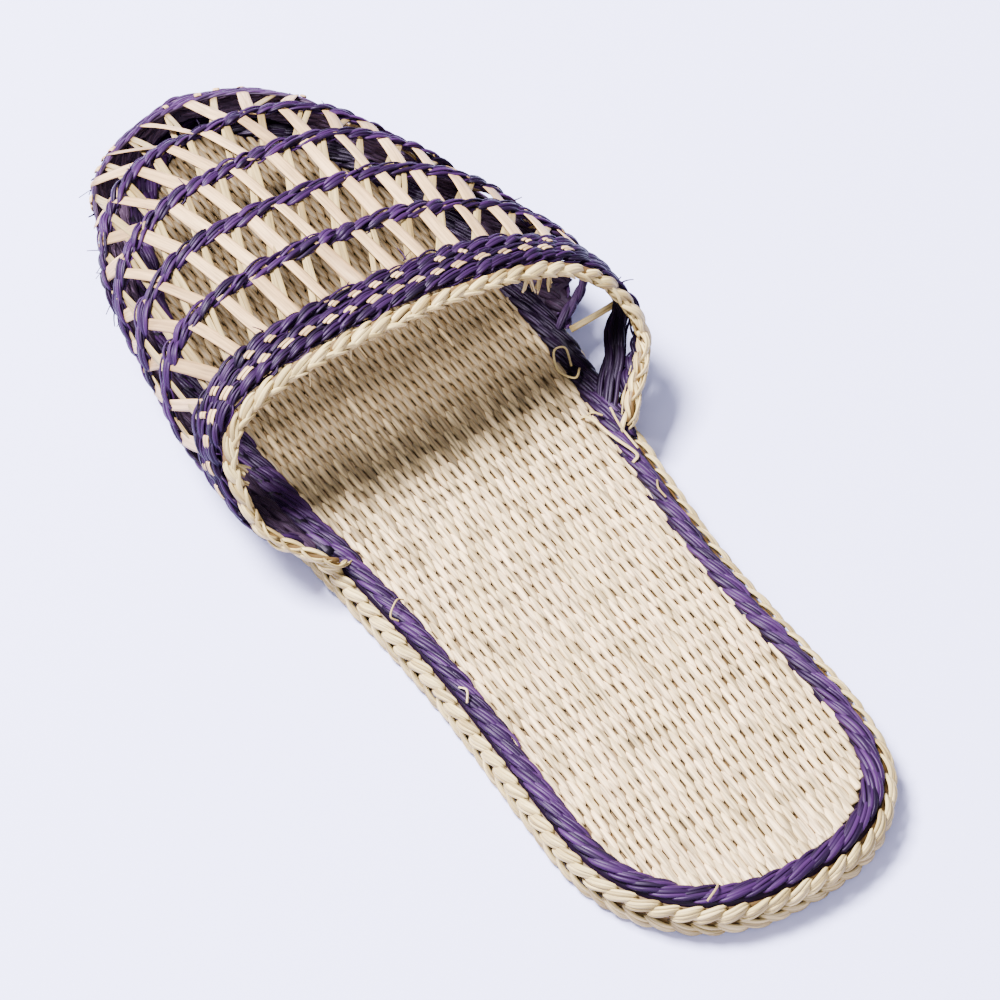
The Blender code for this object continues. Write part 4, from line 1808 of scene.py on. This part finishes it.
    def dots(self) -> None:
        """Lay the short pale bits of straw that show between the rows."""
        weave, dot = Weave(self.seeds[2]), self.dot
        t = np.linspace(-1.0, 1.0, dot.stations)[:, None]
        for number in range(1, self.nose_rows):
            course, _ = self.row(number)
            lower, _ = self.row(number - 1)
            many = int(course.length / dot.pitch)
            s = (np.arange(many) + 0.5 * (number % 2)) * dot.pitch
            s = s + weave.vary(dot.slip_chance, many)
            s = s[weave.rng.random(many) > dot.left_out]
            many = len(s)
            place, along, side, up = course.at(s)
            nearest = np.argmin(np.linalg.norm(lower.points[None] - place[:, None], axis=2), axis=1)
            middle = 0.5 * (place + lower.points[nearest]) + up * dot.rise
            half = dot.half_length[0] + weave.vary(dot.half_length[1], many)
            across = (side + along * weave.vary(dot.lean_chance, many, 1)) * half[:, None]
            paths = middle[:, None] + across[:, None] * t - up[:, None] * dot.sag * t ** 2
            wide = 0.5 * (dot.width[0] + weave.vary(dot.width[1], many, 1))
            weave.strands(paths, np.broadcast_to(up[:, None], paths.shape), wide,
                          dot.thickness / 2, Section.RIBBON, dot.light)
        settle(weave, "toe_cap_dots", CREAM, "straw")


@dataclass
class CollarBraid:
    """The chain plait of pale leaves that binds the collar's edge."""

    upper: UpperForm
    end_z: float = 9.75
    pitch: float = 5.0
    sunk: float = 1.0
    core_size: Span = (1.2, 0.9)
    loose_zone: Span = (12.0, 42.0)
    loose_growth: Place = (0.2, 0.6, 0.6)
    shifts: Span = (0.35, 1.55)
    leaf: Stitch = Stitch(length=8.4, width=3.2, lean=1.1, crown=1.6, dip=0.35, straws=3,
                          thickness=0.5, roundness=0.8, blunt=0.12, stations=11, rough=1.8)
    small: Stitch = Stitch(length=7.0, width=1.7, lean=0.5, crown=1.2, dip=0.2, straws=2,
                           thickness=0.5, roundness=0.8, blunt=0.2, hand=Hand.FALLING)
    back: Stitch = Stitch(length=8.2, width=3.2, lean=0.8, crown=1.3, dip=0.1, straws=3,
                          thickness=0.6, roundness=0.8, blunt=0.2)
    loose_straws: int = 11
    loose_starts: Span = (-1.0, 6.0)
    loose_ends: Span = (26.0, 40.0)
    loose_spread: Span = (1.2, 5.4)
    loose_width: Place = (1.15, 0.3, 0.3)
    loose_shift: Span = (-0.6, 0.35)
    loose_lift: Span = (-1.3, 0.5)
    loose_gather: Span = (0.4, 1.0)
    gathered_share: float = 0.2
    loose_waves: Span = (5.0, 4.0)
    loose_wave: float = 0.3
    loose_start: float = 3.0
    loose_twist: float = 0.4
    loose_light: float = 0.95
    loose_thickness: float = 0.32
    loose_stations: int = 24
    facing: Span = (0.85, -0.6)
    slip_chance: float = 0.3
    points: int = 500
    seed: int = 81

    def course(self) -> Course:
        """The braid's line from the right end to the left end.

        Returns:
            The line as a course.
        """
        v = np.linspace(-1.0, 1.0, self.points)
        x = self.upper.collar(v)
        points = self.upper.point(x, v, -self.sunk)
        out = self.upper.normal(x, v)
        along = unit(np.gradient(points, axis=0))
        ahead = unit(np.cross(along, out))
        ahead = ahead * np.sign(ahead[:, :1])
        keep = points[:, 2] >= self.end_z
        return Course(points[keep], unit(self.facing[0] * out + self.facing[1] * ahead)[keep])

    def loosen(self, weave: Weave, course: Course) -> None:
        """Lay the long straws beside the braid's right end.

        Args:
            weave: The weave that takes them.
            course: The braid's line.
        """
        many = self.loose_straws
        start = weave.rng.uniform(*self.loose_starts, (many, 1))
        end = weave.rng.uniform(*self.loose_ends, (many, 1))
        t = np.linspace(0.0, 1.0, self.loose_stations)
        s = start + (end - start) * t
        close = blend(1.0, self.gathered_share, ease(t, *self.loose_gather))
        shift = self.loose_shift[0] - np.linspace(*self.loose_spread, many)[:, None] * close
        shift = shift + weave.vary(self.loose_shift[1], many, 1)
        shift = shift + self.sway(weave, self.loose_waves[0] * t)
        place, _, side, up = course.at(s)
        lift = self.loose_lift[0] + weave.vary(self.loose_lift[1], many, 1)
        lift = lift + self.sway(weave, self.loose_waves[1] * t)
        paths = place + side * shift[..., None] + up * lift[..., None]
        width, chance, taper = self.loose_width
        wide = 0.5 * (width + weave.vary(chance, many, 1)) * (1 - taper * t)
        ups = unit(up + self.loose_twist * side * weave.vary(1.0, many, 1)[..., None])
        weave.strands(paths, ups, wide, self.loose_thickness / 2, Section.RIBBON,
                      self.loose_light)

    def sway(self, weave: Weave, turn: np.ndarray) -> np.ndarray:
        """Waves of the loose straws, each begun by chance."""
        start = weave.vary(self.loose_start, self.loose_straws, 1)
        return self.loose_wave * np.sin(turn + start)

    def build(self) -> None:
        """Plait the braid."""
        weave = Weave(self.seed)
        course = self.course()
        core(weave, course, self.core_size)
        centres = course.spread(self.pitch, 0.5)
        many = len(centres)
        loose = 1 - ease(centres, *self.loose_zone)
        leaf, small, long = (1.0 + growth * loose for growth in self.loose_growth)
        slipped = centres + weave.vary(self.slip_chance, many)
        self.leaf.lay(weave, course, slipped, self.shifts[0], leaf, long)
        slipped = centres + 0.5 * self.pitch + weave.vary(self.slip_chance, many)
        self.small.lay(weave, course, slipped, self.shifts[1], small, long)
        self.loosen(weave, course)
        self.back.row(weave, Course(course.points, -course.normals), self.pitch)
        settle(weave, "collar_braid_plait", YELLOW, "straw", "collar_braid")


@dataclass(frozen=True)
class Sprig:
    """How short tapered ends leave the sandal, turn and bend."""

    out: float
    stray: float
    pull: Place
    bend: float
    fall: Place
    lengths: Span
    width: float
    thickness: float = 0.18
    taper: float = 0.6
    width_chance: float = 0.3
    turn_chance: float = 0.2
    light: float = 0.9
    stations: int = 6

    def grow(self, weave: Weave, roots: np.ndarray, out: np.ndarray) -> None:
        """Add one end at every root.

        Args:
            weave: The weave that takes them.
            roots: Where they leave the sandal.
            out: Direction out of the surface at each root.
        """
        many = len(roots)
        ways = out * self.out + weave.vary(self.stray, many, 3) + np.array(self.pull)
        bends = weave.vary(self.bend, many, 3) + np.array(self.fall)
        size = weave.rng.uniform(*self.lengths, many)[:, None, None]
        t = np.linspace(0.0, 1.0, self.stations)[None, :, None]
        paths = roots[:, None] + unit(ways)[:, None] * size * t + bends[:, None] * size * t * t
        ups = unit(np.cross(ways, bends) + weave.vary(self.turn_chance, many, 3))
        wide = 0.5 * self.width * (1 - self.taper * t[..., 0])
        wide = wide * (1 + weave.vary(self.width_chance, many, 1))
        weave.strands(paths, np.broadcast_to(ups[:, None], paths.shape), wide,
                      self.thickness / 2, Section.RIBBON, self.light)


@dataclass
class LooseEnds:
    """Stray fibres: frayed purple ends at the toe and the side, pale tufts, curls and straws."""

    upper: UpperForm
    cap: ToeCap
    frays: int = 72
    fray_ways: tuple[Span, Span] = ((-0.6, 0.1), (0.12, 0.5))
    fray_shares: Span = (0.15, 0.95)
    middle: Place = (170.0, 1.0, 8.0)
    cap_end: Sprig = Sprig(0.9, 0.7, (-0.35, 0.0, -0.35), 0.35, (-0.15, 0.0, -0.2), (2.0, 5.2), 0.6)
    band_frays: int = 40
    band_v: float = 0.7
    band_height: float = 1.2
    band_sweep: Place = (0.0, 24.0, 0.0)
    band_ridges: tuple[float, ...] = (201.0, 181.0, 163.5, 146.5, 130.0, 124.0)
    band_end: Sprig = Sprig(0.5, 1.0, (0.0, 0.0, 0.0), 0.5, (0.0, 0.0, 0.0), (1.2, 3.0), 0.4)
    tuft_end: Sprig = Sprig(-1.0, 0.45, (-0.5, 0.0, -0.2), 0.4, (-0.1, 0.0, -0.2), (2.0, 4.2), 1.1)
    tuft_ahead: float = -0.5
    tuft_depth: float = -2.2
    tuft_chance: float = 0.006
    tufts: Table = (
        # v along the collar, number of ends
        (-0.36, 5), (-0.33, 5), (-0.30, 4), (-0.04, 2), (0.06, 2), (0.16, 2),
        (0.60, 3), (0.63, 3), (0.66, 2),
    )
    slats: Table = (
        # x and v of the lower end, x and v of the upper end, width
        (117.5, -0.985, 114.5, -0.80, 1.8),
        (124.0, -0.80, 131.0, -0.62, 1.6), (117.0, -0.68, 126.0, -0.60, 1.6),
    )
    slat_offset: float = -0.2
    slat_thickness: float = 0.36
    slat_light: float = 0.9
    slat_points: int = 9
    curl_thickness: float = 0.24
    curl_points: int = 25
    seeds: tuple[int, int] = (91, 92)
    curls: tuple[tuple[float, Table], ...] = (
        # width, then the points that a straw on or beside the ring passes
        (0.75, ((94.5, -30.6, 9.3), (91.5, -31.6, 10.9), (84.3, -32.8, 11.1),
                (77.3, -34.6, 11.0), (76.2, -33.0, 9.9))),
        (0.55, ((93.6, -30.9, 9.2), (92.6, -32.6, 11.4), (91.2, -34.4, 10.7),
                (94.2, -33.0, 10.3))),
        (0.50, ((91.0, -36.4, 12.4), (85.5, -35.6, 11.8), (78.7, -36.0, 10.6))),
        (0.50, ((105.4, -37.4, 11.6), (103.2, -34.8, 11.8), (107.5, -33.0, 11.3),
                (112.6, -35.0, 12.0), (112.2, -37.8, 11.9), (107.0, -36.2, 11.5))),
        (0.45, ((68.8, -34.6, 10.3), (66.2, -33.2, 11.0), (63.5, -33.5, 10.3))),
        (0.45, ((42.5, 33.6, 10.2), (40.2, 33.0, 11.3), (37.8, 34.4, 10.4))),
        (0.40, ((70.0, 31.0, 9.4), (68.5, 33.6, 12.4), (66.0, 36.6, 11.6), (64.5, 35.4, 10.6))),
        (0.45, ((-29.3, 15.0, 10.4), (-30.6, 16.4, 11.3), (-31.6, 19.2, 10.2))),
        (0.60, ((116.4, -33.0, 34.5), (116.6, -33.2, 31.0), (119.6, -34.8, 26.5))),
    )

    @staticmethod
    def through(points: Table, many: int) -> np.ndarray:
        """A smooth line through points, with evenly spread stations.

        Args:
            points: The points it passes.
            many: The number of stations.

        Returns:
            The stations, (many, 3).
        """
        rows = np.array(points)
        rows = np.vstack([2 * rows[0] - rows[1], rows, 2 * rows[-1] - rows[-2]])
        t = np.linspace(0.0, len(rows) - 3.0, many)
        i = np.minimum(t.astype(int), len(rows) - 4)
        f = (t - i)[:, None]
        a, b, c, d = (rows[i + step] for step in range(4))
        return 0.5 * (2 * b + (c - a) * f + (2 * a - 5 * b + 4 * c - d) * f ** 2
                      + (3 * b - a - 3 * c + d) * f ** 3)

    def purple(self) -> None:
        """Lay the frayed ends of the toe cap and the bands."""
        weave = Weave(self.seeds[0])
        many = self.frays
        far_side, near_side = self.fray_ways
        way = np.where(np.arange(many) % 4 == 3, weave.rng.uniform(*far_side, many),
                       weave.rng.uniform(*near_side, many))
        roots = self.cap.shell(way, weave.rng.uniform(*self.fray_shares, many))
        self.cap_end.grow(weave, roots, unit(roots - np.array(self.middle)))
        many = self.band_frays
        v = weave.rng.uniform(-self.band_v, self.band_v, many)
        x = self.upper.swept(self.band_sweep, v) + weave.rng.choice(self.band_ridges, many)
        self.band_end.grow(weave, self.upper.point(x, v, self.band_height),
                           self.upper.normal(x, v))
        settle(weave, "frayed_ends", PURPLE, "purple_straw")

    def pale(self) -> None:
        """Lay the pale curls, straws and tufts."""
        weave = Weave(self.seeds[1])
        for width, points in self.curls:
            path = self.through(points, self.curl_points)[None]
            ups = np.broadcast_to((0.0, 0.0, 1.0), path.shape)
            weave.strands(path, ups, width / 2, self.curl_thickness / 2, Section.RIBBON, 1.0)
        places, counts = np.array(self.tufts).T
        v = np.repeat(places, counts.astype(int))
        v = v + weave.vary(self.tuft_chance, len(v))
        x = self.upper.collar(v, self.tuft_ahead)
        roots = self.upper.point(x, v, self.tuft_depth)
        self.tuft_end.grow(weave, roots, self.upper.normal(x, v))
        for *slat, width in self.slats:
            x, v = slant(slat, self.slat_points)
            path = self.upper.point(x, v, self.slat_offset)[None]
            weave.strands(path, self.upper.normal(x, v)[None], width / 2,
                          self.slat_thickness / 2, Section.RIBBON, self.slat_light)
        settle(weave, "stray_straws", YELLOW, "straw")


# --- stage -------------------------------------------------------------------------------


@dataclass(frozen=True)
class Lamp:
    """One square soft light: where it hangs and its side in metres, its power and colour."""

    name: str
    place: Place
    size: float
    power: float
    colour: Colour
    target: Place = (0.1, 0.0, 0.0)

    def hang(self) -> None:
        """Hang the light so that it faces the sandal."""
        data = bpy.data.lights.new(self.name, "AREA")
        data.size = self.size
        data.energy = self.power
        data.color = self.colour
        aim(put(self.name, data), Vector(self.place), Vector(self.target))


@dataclass
class Stage:
    """Floor, soft lights and the camera."""

    eye: Place = (-399.5, 298.3, 682.1)
    target: Place = (79.0, 0.5, 15.0)
    lens: float = 142.0
    view_length: float = 20.0
    floor_half: float = 6.0
    floor_colour: Colour = (0.585, 0.59, 0.97)
    floor_cloud: float = 0.97
    floor_cloud_scale: float = 7.0
    floor_cloud_detail: float = 2.0
    floor_roughness: float = 0.75
    sky_colour: Colour = (0.88, 0.91, 1.0)
    sky_strength: float = 0.37
    lamps: tuple[Lamp, ...] = (
        Lamp("key", (0.98, 0.62, 1.85), 0.75, 380.0, (1.0, 0.985, 0.96)),
        Lamp("fill", (-1.2, 0.8, 1.4), 1.6, 38.0, (0.95, 0.97, 1.0)),
    )

    def camera(self) -> None:
        """Place the camera."""
        data = bpy.data.cameras.new("camera")
        data.lens = self.lens
        data.clip_end = self.view_length
        made = put("camera", data)
        aim(made, Vector(self.eye) * MM, Vector(self.target) * MM)
        bpy.context.scene.camera = made

    def floor(self) -> None:
        """Lay the floor."""
        mesh = bpy.data.meshes.new("floor")
        corners = ((-1, -1), (1, -1), (1, 1), (-1, 1))
        mesh.from_pydata([(self.floor_half * x, self.floor_half * y, 0.0) for x, y in corners],
                         [], [(0, 1, 2, 3)])
        tree = ShaderTree("floor")
        where = tree.node("ShaderNodeTexCoord")
        cloud = tree.noise(where.outputs["Object"], self.floor_cloud_scale,
                           self.floor_cloud_detail)
        ring_shade = tuple(self.floor_cloud * part for part in self.floor_colour)
        tree.link(tree.ramp(cloud, (0.0, ring_shade), (1.0, self.floor_colour)),
                  tree.shader.inputs["Base Color"])
        tree.shader.inputs["Roughness"].default_value = self.floor_roughness
        mesh.materials.append(tree.material)
        put("floor", mesh)

    def sky(self) -> None:
        """Fill the surroundings with pale even light."""
        made = bpy.data.worlds.new("studio")
        made.use_nodes = True
        back = made.node_tree.nodes["Background"]
        back.inputs["Color"].default_value = (*self.sky_colour, 1.0)
        back.inputs["Strength"].default_value = self.sky_strength
        bpy.context.scene.world = made

    def build(self) -> None:
        """Set up the whole stage."""
        self.camera()
        self.floor()
        self.sky()
        for lamp in self.lamps:
            lamp.hang()


def main() -> None:
    """Build every piece of the sandal in order and note the final sizes."""
    logging.basicConfig(level=logging.INFO, format="%(name)s %(message)s")
    Stage().build()
    sole = SoleForm()
    upper = UpperForm(sole)
    WovenMat("outsole_mat", "outsole", "shaded_straw", SOLE_STRAW, inset=3.0, bottom=4.0,
             face=0.4, row_pitch=6.6, lane_pitch=3.2, grain=12.4, width=3.0, downward=True,
             stations=7, seed=12).build()
    WovenMat("insole_mat", "insole", "straw", MAT, inset=6.6, bottom=4.3, face=8.6,
             row_pitch=4.7, lane_pitch=2.1, grain=7.3, width=1.92).build()
    BorderRing().build()
    SideBraid("side_braid_lower_plait", "side_braid_lower", 2.35, Hand.FALLING, 0.0, 31).build()
    SideBraid("side_braid_upper_plait", "side_braid_upper", 7.0, Hand.RISING, 0.75, 32).build()
    lattice = Lattice(upper, (CAP_EDGE, *BAND_LINES, COLLAR_FRONT))
    lattice.ribbons()
    lattice.strands()
    for number, line in enumerate(BAND_LINES, start=1):
        CrossBand(number, line, upper).build()
    collar = CollarBand(upper)
    collar.twine()
    collar.lozenges()
    cap = ToeCap(upper)
    cap.twine()
    cap.lining()
    cap.dots()
    CollarBraid(upper).build()
    loose = LooseEnds(upper, cap)
    loose.purple()
    loose.pale()


if __name__ == "__main__":
    main()
